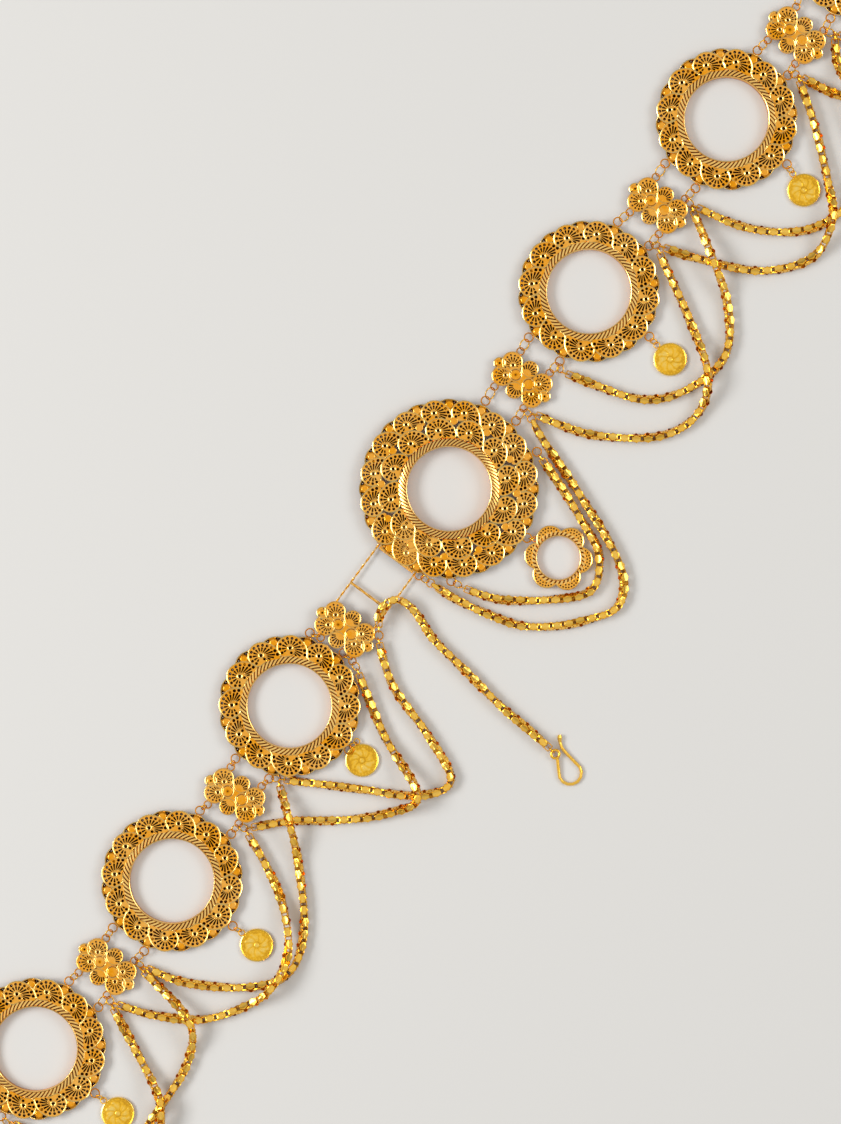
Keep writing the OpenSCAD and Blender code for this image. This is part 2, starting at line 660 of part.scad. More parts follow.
// Hook on the free chain: an eye, which the chain holds up a little, a round bend on the
// floor and a small ball near its tip.
hook_eye_r = 1.75;
hook_pos = [-64.2, -104.6];
hook_bend = [-66.9, -114.6];
hook_bend_r = 4.9;
hook_eye_z = 1.6;
hook_bend_z = 0.8;
module hook() {
  bend = [for (i = [0 : 8]) at_height(hook_bend + polar(hook_bend_r, 150 + 27 * i), hook_bend_z)];
  wire = concat(
    [at_height(hook_pos + [-0.7, -1.6], hook_eye_z - 0.1), at_height([-67.6, -108.7], 1.2)],
    bend,
    [[-61.1, -108.6, 0.9], [-60.4, -105.4, 1.0], [-58.9, -103.2, 1.0], [-57.4, -101.9, 1.1], [-56.4, -101.2, 1.1]]);
  n = len(wire);
  color(pale_gold) {
    translate(at_height(hook_pos, hook_eye_z)) ring(hook_eye_r, hook_wire_r - 0.05);
    tube(wire, [for (i = [0 : n - 1]) i == n - 2 ? 1.0 : hook_wire_r], 10);
  }
}

// Plain hook that closes the belt at the back, on the upper ring of the lower end.
module end_hook() {
  wire = [
    [3, 0, 0], [0, -0.1, 0], [-3, -0.3, 0], [-6, -1.3, 0], [-7.6, -3.2, 0], [-6.9, -5.2, 0],
    [-4.9, -5.8, 0], [-3.2, -4.8, 0]];
  color(pale_gold) translate(medallion_ring(1, -1, 1) + [-2 * ring_r + 2 * wire_r + play, 0, 0]) {
    rotate([link_lean, 0, 0]) ring(ring_r);
    translate([-ring_r - 3, 0, 0]) tube(wire, [for (i = [0 : 7]) 0.6], 10);
  }
}

buckle();
tongue_plate();
medallion(1);  // medallion_1
medallion(2);  // medallion_2
medallion(3);  // medallion_3
medallion(4);  // medallion_4
medallion(5);  // medallion_5
medallion(6);  // medallion_6
connector(1);  // connector_1
connector(2);  // connector_2
connector(4);  // connector_4
connector(5);  // connector_5
connector(6);  // connector_6
coin(1);  // coin_1
coin(2);  // coin_2
coin(3);  // coin_3
coin(4);  // coin_4
coin(5);  // coin_5
coin(6);  // coin_6
flower();
hook();
end_hook();
links(1);  // links_1
links(2);  // links_2
links(3);  // links_3
links(4);  // links_4
links(5);  // links_5
links(6);  // links_6
links(7);  // links_7
links(8);  // links_8
links(9);  // links_9
links(10);  // links_10
buckle_links();  // links_11
end_rings();
coin_links();
swag(1);  // swag_1
swag(2);  // swag_2
swag(3);  // swag_3
swag(4);  // swag_4
swag(5);  // swag_5
swag(6);  // swag_6
swag(7);  // swag_7
swag(8);  // swag_8
swag(9);  // swag_9
swag(10);  // swag_10
swag(11);  // swag_11
swag(12);  // swag_12
buckle_swag_outer();
buckle_swag_inner();
safety_chain();
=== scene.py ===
import math
import random

import bpy
from mathutils import Matrix, Vector, geometry


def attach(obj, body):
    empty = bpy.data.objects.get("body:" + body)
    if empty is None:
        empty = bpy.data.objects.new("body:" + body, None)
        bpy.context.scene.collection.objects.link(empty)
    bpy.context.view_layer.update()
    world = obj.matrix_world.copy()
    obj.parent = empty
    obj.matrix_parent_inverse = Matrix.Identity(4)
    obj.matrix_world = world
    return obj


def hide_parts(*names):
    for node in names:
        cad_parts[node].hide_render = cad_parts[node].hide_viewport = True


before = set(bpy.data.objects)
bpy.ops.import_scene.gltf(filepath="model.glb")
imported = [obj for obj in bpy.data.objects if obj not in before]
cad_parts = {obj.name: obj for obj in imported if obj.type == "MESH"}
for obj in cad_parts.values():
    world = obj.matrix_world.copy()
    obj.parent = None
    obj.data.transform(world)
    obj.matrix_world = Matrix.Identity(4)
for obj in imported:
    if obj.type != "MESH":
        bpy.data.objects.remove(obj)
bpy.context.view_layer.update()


# Camera, floor and light.
# The belt lies flat and is looked at from straight above, turned so that it runs up the picture.
MM = 0.001
view_middle = Vector((-32.5, -8.9, 0.0)) * MM
view_height = 1.55
view_turn = -53.36
picture_height = 0.4833
film_height = 24.0

camera_data = bpy.data.cameras.new("overhead_camera")
camera_data.sensor_fit = "VERTICAL"
camera_data.sensor_height = film_height
camera_data.lens = film_height * view_height / picture_height
camera_data.clip_end = 20.0
camera = bpy.data.objects.new("overhead_camera", camera_data)
camera.location = (view_middle.x, view_middle.y, view_height)
camera.rotation_euler = (0.0, 0.0, math.radians(view_turn))
bpy.context.collection.objects.link(camera)
bpy.context.scene.camera = camera
bpy.context.scene.view_settings.view_transform = "Standard"

floor_mesh = bpy.data.meshes.new("studio_floor")
floor_half = 6.0
floor_corners = [(sx * floor_half, sy * floor_half, 0.0) for sx, sy in ((-1, -1), (1, -1), (1, 1), (-1, 1))]
floor_mesh.from_pydata(floor_corners, [], [(0, 1, 2, 3)])
studio_floor = bpy.data.objects.new("studio_floor", floor_mesh)
bpy.context.collection.objects.link(studio_floor)
paper_grey = (0.62, 0.61, 0.59, 1.0)
floor_paper = bpy.data.materials.new("floor_paper")
floor_paper.use_nodes = True
paper_shader = floor_paper.node_tree.nodes["Principled BSDF"]
paper_shader.inputs["Base Color"].default_value = paper_grey
paper_shader.inputs["Roughness"].default_value = 0.8
floor_mesh.materials.append(floor_paper)

# The air is brighter overhead than at the sides, as under a white ceiling.
air_white = (1.0, 0.99, 0.97, 1.0)
level_glow = 0.2
overhead_glow = 0.82
studio_air = bpy.data.worlds.new("studio_air")
studio_air.use_nodes = True
air_tree = studio_air.node_tree
air_shader = air_tree.nodes["Background"]
air_shader.inputs["Color"].default_value = air_white
air_place = air_tree.nodes.new("ShaderNodeTexCoord")
air_height = air_tree.nodes.new("ShaderNodeSeparateXYZ")
air_ramp = air_tree.nodes.new("ShaderNodeMapRange")
air_ramp.inputs["To Min"].default_value = level_glow
air_ramp.inputs["To Max"].default_value = overhead_glow
air_tree.links.new(air_place.outputs["Generated"], air_height.inputs["Vector"])
air_tree.links.new(air_height.outputs["Z"], air_ramp.inputs["Value"])
air_tree.links.new(air_ramp.outputs["Result"], air_shader.inputs["Strength"])
bpy.context.scene.world = studio_air


def hang_softbox(name, place, size, power):
    """A rectangular light at place, facing the middle of the picture."""
    lamp = bpy.data.lights.new(name, "AREA")
    lamp.shape = "RECTANGLE"
    lamp.size = size[0]
    lamp.size_y = size[1]
    lamp.energy = power
    softbox = bpy.data.objects.new(name, lamp)
    softbox.location = place
    toward_belt = view_middle - Vector(place)
    softbox.rotation_euler = toward_belt.to_track_quat("-Z", "Y").to_euler()
    bpy.context.collection.objects.link(softbox)


hang_softbox("key_softbox", place=(-1.1, 1.5, 1.5), size=(1.3, 0.8), power=40.0)
hang_softbox("fill_softbox", place=(1.3, -1.2, 1.4), size=(1.4, 0.9), power=15.0)


# Medallions.
# Six round coin frames: a fluted gold bezel, round it twelve pierced rosettes of sheet with
# wire soldered on their edges, a granule between each two, and plain soldered jump rings.
class Goldwork:
    """Gathers the metal of one soldered piece, in millimetres, with a tone for each point:
    0 is painted shade deep in a gap, 0.5 is flat sheet and 1 is a painted highlight on an edge."""

    def __init__(self):
        self.points = []
        self.faces = []
        self.tones = []

    def add(self, points, faces, tones, place=None):
        start = len(self.points)
        if place is None:
            self.points.extend(tuple(p) for p in points)
        else:
            self.points.extend((place @ Vector(p)).to_tuple() for p in points)
        self.faces.extend(tuple(start + i for i in face) for face in faces)
        if isinstance(tones, float):
            tones = [tones] * len(points)
        self.tones.extend(tones)

    def join(self, other, place):
        self.add(other.points, other.faces, other.tones, place)

    def make(self, name, finish, slot, *nodes, crease=38.0):
        mesh = bpy.data.meshes.new(name)
        mesh.from_pydata([(x * MM, y * MM, z * MM) for x, y, z in self.points], [], self.faces)
        tone = mesh.attributes.new("tone", "FLOAT", "POINT")
        tone.data.foreach_set("value", self.tones)
        mesh.shade_smooth()
        mesh.set_sharp_from_angle(angle=math.radians(crease))
        mesh.materials.append(finish)
        piece = bpy.data.objects.new(name, mesh)
        bpy.context.collection.objects.link(piece)
        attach(piece, "root")
        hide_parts(*nodes)


def at(x, y, z=0.0, turn=0.0, tilt=0.0, lean=0.0, size=1.0):
    """Place of a part: moved to x, y, z, turned about Z, then tilted about Y and leaned about X."""
    return (Matrix.Translation((x, y, z)) @ Matrix.Rotation(math.radians(turn), 4, "Z")
            @ Matrix.Rotation(math.radians(tilt), 4, "Y") @ Matrix.Rotation(math.radians(lean), 4, "X")
            @ Matrix.Scale(size, 4))


def polar(radius, angle):
    """A point at radius from the origin, angle degrees anticlockwise from +X."""
    return (radius * math.cos(math.radians(angle)), radius * math.sin(math.radians(angle)))


def around(radius, angle, z=0.0, turn=None, **more):
    """Place on a circle about the origin, with the part's +X outward unless turned."""
    return at(*polar(radius, angle), z, angle if turn is None else turn, **more)


def smooth_loop(points, parts, closed=True):
    """Points along a Catmull-Rom curve through the given ones."""
    out = []
    n = len(points)
    for i in range(n if closed else n - 1):
        a, b, c, d = (points[(i + k) % n] if closed else points[min(max(i + k, 0), n - 1)]
                      for k in (-1, 0, 1, 2))
        for j in range(parts):
            t = j / parts
            out.append(tuple(
                0.5 * (2 * q + t * (r - p) + t * t * (2 * p - 5 * q + 4 * r - s)
                       + t * t * t * (3 * q - p - 3 * r + s))
                for p, q, r, s in zip(a, b, c, d)))
    if not closed:
        out.append(tuple(points[-1]))
    return out


def skin(rows, parts, closed=False):
    """Faces between each row of points and the next; each row is a ring of so many parts."""
    faces = []
    for row in range(rows if closed else rows - 1):
        for i in range(parts):
            a, b = row * parts + i, row * parts + (i + 1) % parts
            c, d = (a + parts) % (rows * parts), (b + parts) % (rows * parts)
            faces.append((a, b, d, c))
    return faces


def wire(path, radius, sides=6, closed=False, tone=1.0, bead=0.0):
    """A round wire along path, or one that swells by bead at every other point, as twisted wire does."""
    n = len(path)
    points = []
    for i in range(n):
        before = Vector(path[i - 1 if closed or i else 0])
        after = Vector(path[(i + 1) % n if closed else min(i + 1, n - 1)])
        along = (after - before).normalized()
        side = Vector((0, 0, 1)).cross(along)
        side = side.normalized() if side.length > 1e-6 else Vector((1, 0, 0))
        rise = along.cross(side)
        for k in range(sides):
            a = 2 * math.pi * (k + 0.5) / sides
            swell = radius * (1 + bead * (-1) ** i)
            points.append(Vector(path[i]) + swell * (math.cos(a) * side + math.sin(a) * rise))
    faces = skin(n, sides, closed)
    if not closed:
        faces.append(tuple(range(sides - 1, -1, -1)))
        faces.append(tuple((n - 1) * sides + k for k in range(sides)))
    return points, faces, tone


def round_wire(mean_radius, wire_radius, parts=24, sides=7, tone=0.5):
    """A closed ring of round wire, flat, about the origin."""
    loop = [polar(mean_radius, 360 * i / parts) + (0.0,) for i in range(parts)]
    return wire(loop, wire_radius, sides, closed=True, tone=tone)


def shifted(loop, x, y):
    """The flat loop, moved by x, y."""
    return [(x + px, y + py) for px, py in loop]


def disc_loop(x, y, radius, corners=8):
    """A round outline, or a round gap."""
    return shifted([polar(radius, 360 * i / corners) for i in range(corners)], x, y)


def slot_gap(angle, inner, outer, inner_width, outer_width):
    """A slot with rounded ends that points away from the origin."""
    # Distance from the origin, and the share of the half width there.
    side_points = [(inner, -0.5), (inner, 0.5), (inner + 0.15, 1.0), (outer - 0.2, 1.0), (outer, 0.5),
                   (outer, -0.5), (outer - 0.2, -1.0), (inner + 0.15, -1.0)]
    turn = Matrix.Rotation(math.radians(angle), 2)
    loop = []
    for along, side in side_points:
        share = (along - inner) / (outer - inner)
        half = 0.5 * (inner_width + share * (outer_width - inner_width))
        loop.append((turn @ Vector((along, side * half))).to_tuple())
    return loop


gap_taper = 0.22
gap_edge_highlight = 0.07
underside_shade_tone = 0.25


def pierced_sheet(outline, gaps, low, high, tone=0.55, crown=None):
    """Sheet metal with the gaps cut through it. crown(x, y) raises its upper face."""
    loops = [outline] + gaps
    flat_points = []
    owners = []
    edges = []
    for number, loop in enumerate(loops):
        start = len(flat_points)
        flat_points.extend(Vector(p) for p in loop)
        owners.extend([number] * len(loop))
        edges.extend((start + i, start + (i + 1) % len(loop)) for i in range(len(loop)))
    inside_only = 1
    cut, _, triangles, origins, _, _ = geometry.delaunay_2d_cdt(flat_points, edges, [], inside_only, 1e-5)
    owner = [owners[origin[0]] if origin else 0 for origin in origins]
    # The gaps are convex, so a triangle with all its corners on one gap lies inside it.
    triangles = [t for t in triangles if not owner[t[0]] == owner[t[1]] == owner[t[2]] > 0]
    top = [(p.x, p.y, high + (crown(p.x, p.y) if crown else 0.0)) for p in cut]
    centre = Vector((0.0, 0.0))
    middles = [centre] + [sum((Vector(p) for p in loop), centre) / len(loop) for loop in gaps]
    # A gap narrows downwards, as a punch leaves it.
    keep = [1.0] + [gap_taper] * len(gaps)
    under = [(middles[o] + keep[o] * (p - middles[o])).to_tuple() + (low,) for p, o in zip(cut, owner)]
    n = len(cut)
    points = top + under
    faces = [tuple(t) for t in triangles] + [tuple(n + i for i in reversed(t)) for t in triangles]
    # The metal round the gaps is toned bright as a painted highlight, and the underside dark as painted shade.
    tones = [tone + (gap_edge_highlight if o else 0.0) for o in owner] + [underside_shade_tone] * n
    for loop, middle, share in zip(loops, middles, keep):
        start = len(points)
        count = len(loop)
        points.extend((x, y, high + (crown(x, y) if crown else 0.0)) for x, y in loop)
        points.extend((middle + share * (Vector(p) - middle)).to_tuple() + (low,) for p in loop)
        # The outline's walls are toned a little bright at the top and dark below, and the gaps' walls dark all
        # through: painted highlight and painted shade.
        tones.extend([0.6] * count + [underside_shade_tone] * count if loop is outline else [0.0] * (2 * count))
        area = sum(loop[i - 1][0] * loop[i][1] - loop[i][0] * loop[i - 1][1] for i in range(count))
        outward = (area > 0) == (loop is outline)
        for i in range(count):
            j = (i + 1) % count
            face = (start + i, start + count + i, start + count + j, start + j)
            faces.append(face if outward else tuple(reversed(face)))
    return points, faces, tones


def button(radius, low, high, parts=16, tone=0.55, hollow=0.0):
    """A low round granule: straight sides, a rounded shoulder, and a dent in the middle if asked."""
    # Radius, height and tone, from its foot to its middle: the foot is toned dark as painted shade, the shoulder
    # bright as a painted highlight, and a dent dark as painted shade.
    profile = [(radius, low, tone - 0.3), (radius, high - 0.16, tone), (radius - 0.1, high - 0.04, tone + 0.2),
               (radius - 0.25, high, tone), (radius * 0.45, high, tone)]
    if hollow:
        profile += [(hollow, high - 0.05, 0.2), (hollow * 0.8, high - 0.5, 0.0)]
    points = []
    tones = []
    for r, z, t in profile:
        points.extend(polar(r, 360 * i / parts) + (z,) for i in range(parts))
        tones.extend([t] * parts)
    faces = skin(len(profile), parts)
    faces.append(tuple((len(profile) - 1) * parts + i for i in range(parts)))
    return points, faces, tones


# A rosette's outline and round holes: angle and distance from its eye, with +X away from the
# coin. Its slots: angle, and the distances at which they start and end.
rosette_edge = [
    (210, 3.0), (180, 3.2), (162, 3.55), (144, 4.2), (122, 4.65), (96, 5.0), (70, 5.1), (44, 5.0), (17, 4.95),
    (-10, 5.0), (-36, 5.15), (-60, 5.5), (-81, 6.1), (-99, 6.8), (-112, 7.4), (-122, 7.6), (-128, 7.0),
    (-136, 5.2), (-148, 3.9), (-160, 3.3)]
rosette_holes = [
    (196, 1.9), (162, 2.5), (144, 3.2), (122, 3.6), (96, 4.0), (70, 4.1), (44, 4.0), (17, 3.9), (-10, 3.85),
    (-36, 4.0), (-60, 4.4), (-81, 5.0), (-99, 5.7), (-114, 6.4)]
rosette_slots = [
    (-140, 2.5, 4.0), (-127, 2.5, 5.2), (-114, 2.3, 5.5), (-99, 2.0, 4.85), (-81, 1.6, 4.2), (-60, 1.5, 3.6),
    (-36, 1.5, 3.2), (-10, 1.5, 3.1), (17, 1.5, 3.1), (44, 1.5, 3.2), (70, 1.5, 3.3), (96, 1.6, 3.2),
    (122, 1.7, 2.8)]
rosette_curl = [(196, 3.05), (208, 2.75), (226, 2.4), (246, 2.0), (268, 1.6), (292, 1.3), (318, 1.1)]
rosette_rim_from = -125
sheet_thick = 1.1
rim_wire = 0.23
arc_wire = 0.24
collar_highlight_tone = 0.95
crown_rise = 0.22


def rosette_crown(x, y):
    """How far a rosette's sheet is domed up round its eye."""
    return crown_rise * math.exp(-(x * x + y * y) / 9)


def rosette():
    """One rosette with its sheet from 0 up to the sheet's thickness."""
    metal = Goldwork()
    edge = smooth_loop([polar(r, a) for a, r in rosette_edge], 3)
    gaps = [disc_loop(*polar(r, a), 0.6 if a > -90 else 0.68) for a, r in rosette_holes]
    gaps += [slot_gap(a, inner, outer, inner_width=0.4, outer_width=0.84) for a, inner, outer in rosette_slots]
    gaps.append(disc_loop(0.0, 0.0, 0.66, 12))
    metal.add(*pierced_sheet(edge, gaps, 0.0, sheet_thick, crown=rosette_crown))
    # The rim wire follows the edge anticlockwise, then curls in round the eye. It and the collar are toned bright
    # as a painted highlight.
    rim = sorted((a if a <= 180 else a - 360, r) for a, r in rosette_edge)
    rim = [(a, r) for a, r in rim if a >= rosette_rim_from]
    curl = [polar(r, a) + (sheet_thick + rosette_crown(r, 0.0) + 0.12,) for a, r in rim + rosette_curl]
    metal.add(*wire(smooth_loop(curl, 4, closed=False), rim_wire, bead=0.3))
    collar = round_wire(0.9, arc_wire, 16, 6, tone=collar_highlight_tone)
    metal.add(*collar, place=at(0, 0, sheet_thick + crown_rise))
    return metal


seat_radius = 18.0
flute_depth = 0.42
flute_slant = 11.0 / 3.5


def fluted_bezel(inner, outer, height, foot, flutes):
    """The coin's bezel: a lip with a painted highlight, and a band outside it that slopes down, cut with slanted
    flutes.
    """
    lip_wide = 0.65
    # Radius, height, tone, and whether the flutes are cut there. The lip's top is toned bright as a painted
    # highlight and the feet dark as painted shade.
    lip = [(inner, 0.0, 0.2, False), (inner, height - 0.45, 0.6, False),
           (inner + 0.12, height - 0.12, 0.95, False), (inner + 0.32, height, 1.0, False),
           (inner + 0.55, height - 0.18, 0.95, False), (inner + lip_wide, height - 0.6, 0.3, False)]
    band = outer - inner - lip_wide
    slope = [(inner + 0.75 + band * s, height - 0.55 - (height - 0.55 - foot) * s ** 1.25, 0.85, True)
             for s in (0.0, 0.12, 0.3, 0.5, 0.7, 0.88)]
    ledge = [(outer, foot, 0.4, False), (outer, 0.0, 0.2, False)]
    rows = lip + slope + ledge
    # Each flute's points, as shares of its turn, and the edges that are toned bright as a painted highlight.
    across = (0.0, 0.09, 0.38, 0.47, 0.66, 0.88)
    in_groove = (0.09, 0.38)
    wear_and_glint = (0.0, 0.47)
    points = []
    tones = []
    for r, z, tone, cut in rows:
        slant = (r - inner) * flute_slant
        for k in range(flutes):
            for share in across:
                sunk = flute_depth if cut and share in in_groove else 0.0
                points.append(polar(r, 360 * (k + share) / flutes - slant) + (z - sunk,))
                # The grooves are toned dark as painted shade.
                tones.append(0.0 if sunk else tone + (0.3 if cut and share in wear_and_glint else 0.0))
    # The rows run from the inside over the lip outward, so the faces are turned over.
    faces = [(a, c, d, b) for a, b, d, c in skin(len(rows), flutes * len(across), closed=True)]
    return points, faces, tones


def noise_of(tree, scale, detail, place):
    """A new noise of that scale in the tree, read at place."""
    noise = tree.nodes.new("ShaderNodeTexNoise")
    noise.inputs["Scale"].default_value = scale
    noise.inputs["Detail"].default_value = detail
    tree.links.new(place, noise.inputs["Vector"])
    return noise.outputs["Fac"]


def build_gold_grain_and_painted_light():
    """Node group: the gold's colour by its tone, from a painted shade in gaps to a painted highlight on edges,
    with its roughness and fine hand-worked unevenness.
    """
    group = bpy.data.node_groups.new("gold_grain_and_painted_light", "ShaderNodeTree")
    for name, kind in (("Tone", "NodeSocketFloat"), ("Gap", "NodeSocketColor"), ("Sheet", "NodeSocketColor"),
                       ("Edge", "NodeSocketColor"), ("Grain", "NodeSocketFloat"), ("Polish", "NodeSocketFloat")):
        group.interface.new_socket(name, in_out="INPUT", socket_type=kind)
    for name, kind in (("Color", "NodeSocketColor"), ("Roughness", "NodeSocketFloat"),
                       ("Height", "NodeSocketFloat")):
        group.interface.new_socket(name, in_out="OUTPUT", socket_type=kind)
    given = group.nodes.new("NodeGroupInput")
    result = group.nodes.new("NodeGroupOutput")
    place = group.nodes.new("ShaderNodeTexCoord").outputs["Object"]
    patches = noise_of(group, scale=90.0, detail=2.0, place=place)
    grain = noise_of(group, scale=1400.0, detail=3.0, place=place)

    def maths(kind, a, b):
        node = group.nodes.new("ShaderNodeMath")
        node.operation = kind
        node.use_clamp = kind == "ADD"
        for socket, value in zip(node.inputs, (a, b)):
            if isinstance(value, float):
                socket.default_value = value
            else:
                group.links.new(value, socket)
        return node.outputs[0]

    def blend(share, low, high):
        node = group.nodes.new("ShaderNodeMix")
        node.data_type = "RGBA"
        group.links.new(share, node.inputs["Factor"])
        group.links.new(low, node.inputs["A"])
        group.links.new(high, node.inputs["B"])
        return node.outputs["Result"]

    # Sums are kept within 0 and 1, so the unevenness is summed about one half.
    uneven = maths("MULTIPLY", maths("SUBTRACT", patches, 0.5), 0.5)
    speckle = maths("MULTIPLY", maths("SUBTRACT", grain, 0.5), 0.3)
    shift = maths("SUBTRACT", maths("ADD", maths("ADD", uneven, 0.5), speckle), 0.5)
    tone = maths("ADD", given.outputs["Tone"], shift)
    # As the tone rises the colour goes from the Gap colour, a painted shade, through the Sheet colour to the Edge
    # colour, a painted highlight.
    to_sheet = maths("MULTIPLY", tone, 2.0)
    to_edge = maths("SUBTRACT", to_sheet, 1.0)
    lower = blend(maths("MINIMUM", to_sheet, 1.0), given.outputs["Gap"], given.outputs["Sheet"])
    group.links.new(blend(maths("MAXIMUM", to_edge, 0.0), lower, given.outputs["Edge"]), result.inputs["Color"])
    rough = maths("ADD", given.outputs["Polish"], maths("MULTIPLY", patches, 0.16))
    group.links.new(rough, result.inputs["Roughness"])
    group.links.new(maths("MULTIPLY", grain, given.outputs["Grain"]), result.inputs["Height"])
    return group


gold_grain_and_painted_light = build_gold_grain_and_painted_light()


def gold_finish(name, gap, sheet, edge, grain, polish, tone=None):
    """Polished gold whose tone mixes the painted shade of gaps and the painted highlight of edges; the tone comes
    from the mesh, or is the same all over a CAD node.
    """
    finish = bpy.data.materials.new(name)
    finish.use_nodes = True
    tree = finish.node_tree
    shader = tree.nodes["Principled BSDF"]
    shader.inputs["Metallic"].default_value = 1.0
    light_and_grain = tree.nodes.new("ShaderNodeGroup")
    light_and_grain.node_tree = gold_grain_and_painted_light
    if tone is None:
        reader = tree.nodes.new("ShaderNodeAttribute")
        reader.attribute_name = "tone"
        tree.links.new(reader.outputs["Fac"], light_and_grain.inputs["Tone"])
    else:
        light_and_grain.inputs["Tone"].default_value = tone
    for socket, colour in (("Gap", gap), ("Sheet", sheet), ("Edge", edge)):
        light_and_grain.inputs[socket].default_value = colour + (1.0,)
    light_and_grain.inputs["Grain"].default_value = grain
    light_and_grain.inputs["Polish"].default_value = polish
    bump = tree.nodes.new("ShaderNodeBump")
    bump.inputs["Strength"].default_value = 0.35
    bump.inputs["Distance"].default_value = 0.0002
    tree.links.new(light_and_grain.outputs["Height"], bump.inputs["Height"])
    tree.links.new(light_and_grain.outputs["Color"], shader.inputs["Base Color"])
    tree.links.new(light_and_grain.outputs["Roughness"], shader.inputs["Roughness"])
    tree.links.new(bump.outputs["Normal"], shader.inputs["Normal"])
    return finish


# The brown is painted shade for the gaps and the pale colour a painted highlight for the edges; the orange is the
# sheet's own colour.
gap_shade_brown = (0.20, 0.055, 0.004)
sheet_orange = (1.0, 0.39, 0.010)
edge_highlight_pale = (1.0, 0.70, 0.23)
filigree_gold = gold_finish("filigree_gold", gap_shade_brown, sheet_orange, edge_highlight_pale, grain=0.6, polish=0.13)

# Middle of each medallion and its turn, from the lower end of the belt to its upper end.
medallions = [(-298.9, -0.9, -5), (-206.0, -5.0, 0), (-115.6, -0.6, 6), (103.8, 2.4, -1), (198.4, -0.9, -2.6),
              (291.5, -3.5, -2)]
plate_low = 1.7
bezel_outer = 21.5
bezel_height = 3.8
rosette_reach = 24.8
rosette_size = 1.1
granule_reach = 27.95
medallion_radius = 30.7
granule_radius = 1.55
jump_ring = 1.88
jump_wire = 0.26
soldered_wire = 0.3
ring_lift = 0.55
medallion_ring_reach = medallion_radius + jump_ring + jump_wire - 0.4


def granule_setting():
    """A granule between two rosettes, on pierced sheet edged with an arc of beaded wire."""
    metal = Goldwork()
    arc = [(0.9, 4.5), (1.7, 3.3), (2.25, 1.9), (2.5, 0.65)]
    neck = [(0.45, 3.6), (-0.3, 2.8), (-1.3, 2.0), (-2.4, 1.4), (-2.8, 0.4)]
    outer_gap = [(0.3, 1.85), (1.25, 1.4), (1.95, 1.35), (1.75, 2.5), (1.05, 3.55), (0.3, 2.7)]
    inner_gap = [(-0.7, 1.75), (-1.5, 1.2), (-2.0, 0.9), (-1.7, 1.4), (-1.2, 1.75)]
    half = arc[::-1] + neck
    edge = half + [(x, -y) for x, y in reversed(half)]
    gaps = [[(x, side * y) for x, y in gap] for side in (-1, 1) for gap in (outer_gap, inner_gap)]
    # The sheet round the granule is toned dark as painted shade, and the beaded wire bright as a painted
    # highlight.
    metal.add(*pierced_sheet(edge, gaps, 0.0, sheet_thick - 0.12, tone=0.2))
    path = arc + [(x, -y) for x, y in reversed(arc)]
    path = smooth_loop([(x - 0.18, y, sheet_thick + 0.02) for x, y in path], 5, closed=False)
    metal.add(*wire(path, arc_wire, bead=0.3))
    metal.add(*button(granule_radius, 0.0, sheet_thick + 0.4))
    return metal


def solder_ring(metal, radius, place):
    """Adds a plain jump ring, toned darker than the sheet and without the edges' painted highlight."""
    metal.add(*round_wire(radius, soldered_wire, tone=0.35), place=place)


granule_cup = granule_setting()
one_rosette = rosette()
bezel = fluted_bezel(seat_radius, bezel_outer, bezel_height, plate_low + sheet_thick, flutes=64)
hand = random.Random(7)


def rosette_place(reach, angle, height, off_turn, off_level, size):
    """Place of a rosette on a circle, a little off true, as hand work is."""
    return around(reach, angle, height, turn=angle + hand.uniform(-off_turn, off_turn),
                  tilt=hand.uniform(-off_level, off_level), lean=hand.uniform(-off_level, off_level), size=size)


for number, (x, y, turn) in enumerate(medallions, 1):
    metal = Goldwork()
    metal.add(*bezel)
    for k in range(12):
        # Every other rosette lies a little higher, so that neighbours overlap cleanly.
        height = plate_low + 0.05 * (k % 2)
        metal.join(one_rosette, rosette_place(rosette_reach, 30 * k, height, off_turn=1.5, off_level=1.2,
                                              size=rosette_size))
        metal.join(granule_cup, around(granule_reach, 30 * k + 15, plate_low))
    # A turned frame's drop ring sits beside its rosette's middle, where the edge lies further in.
    drop_reach = medallion_ring_reach - 0.02 * turn * turn
    ring_spots = [(medallion_ring_reach, angle) for angle in (15, -15, 165, 195)] + [(drop_reach, -90 - turn)]
    for reach, angle in ring_spots:
        solder_ring(metal, jump_ring, around(reach, angle, plate_low + ring_lift))
    placed = Goldwork()
    placed.join(metal, at(x, y, 0, turn))
    placed.make(f"medallion_{number}_filigree", filigree_gold, "gold_filigree", f"medallion_{number}")


# Buckle.
# The large frame: a taller fluted bezel in two rows of the same rosettes, and behind them a
# flat box of sheet gold, open towards the tongue, whose two wires slide into it.
buckle_low = 2.45
buckle_bezel_outer = 21.8
buckle_bezel_height = 5.4
buckle_rosette_size = 1.06
outer_row_reach = 33.1
outer_row_turn = 2.9
outer_granule_reach = 36.1
inner_row_reach = 25.4
inner_row_turn = 17.1
inner_row_lift = 0.32
inner_granule_reach = 29.1
inner_granule_radius = 1.65

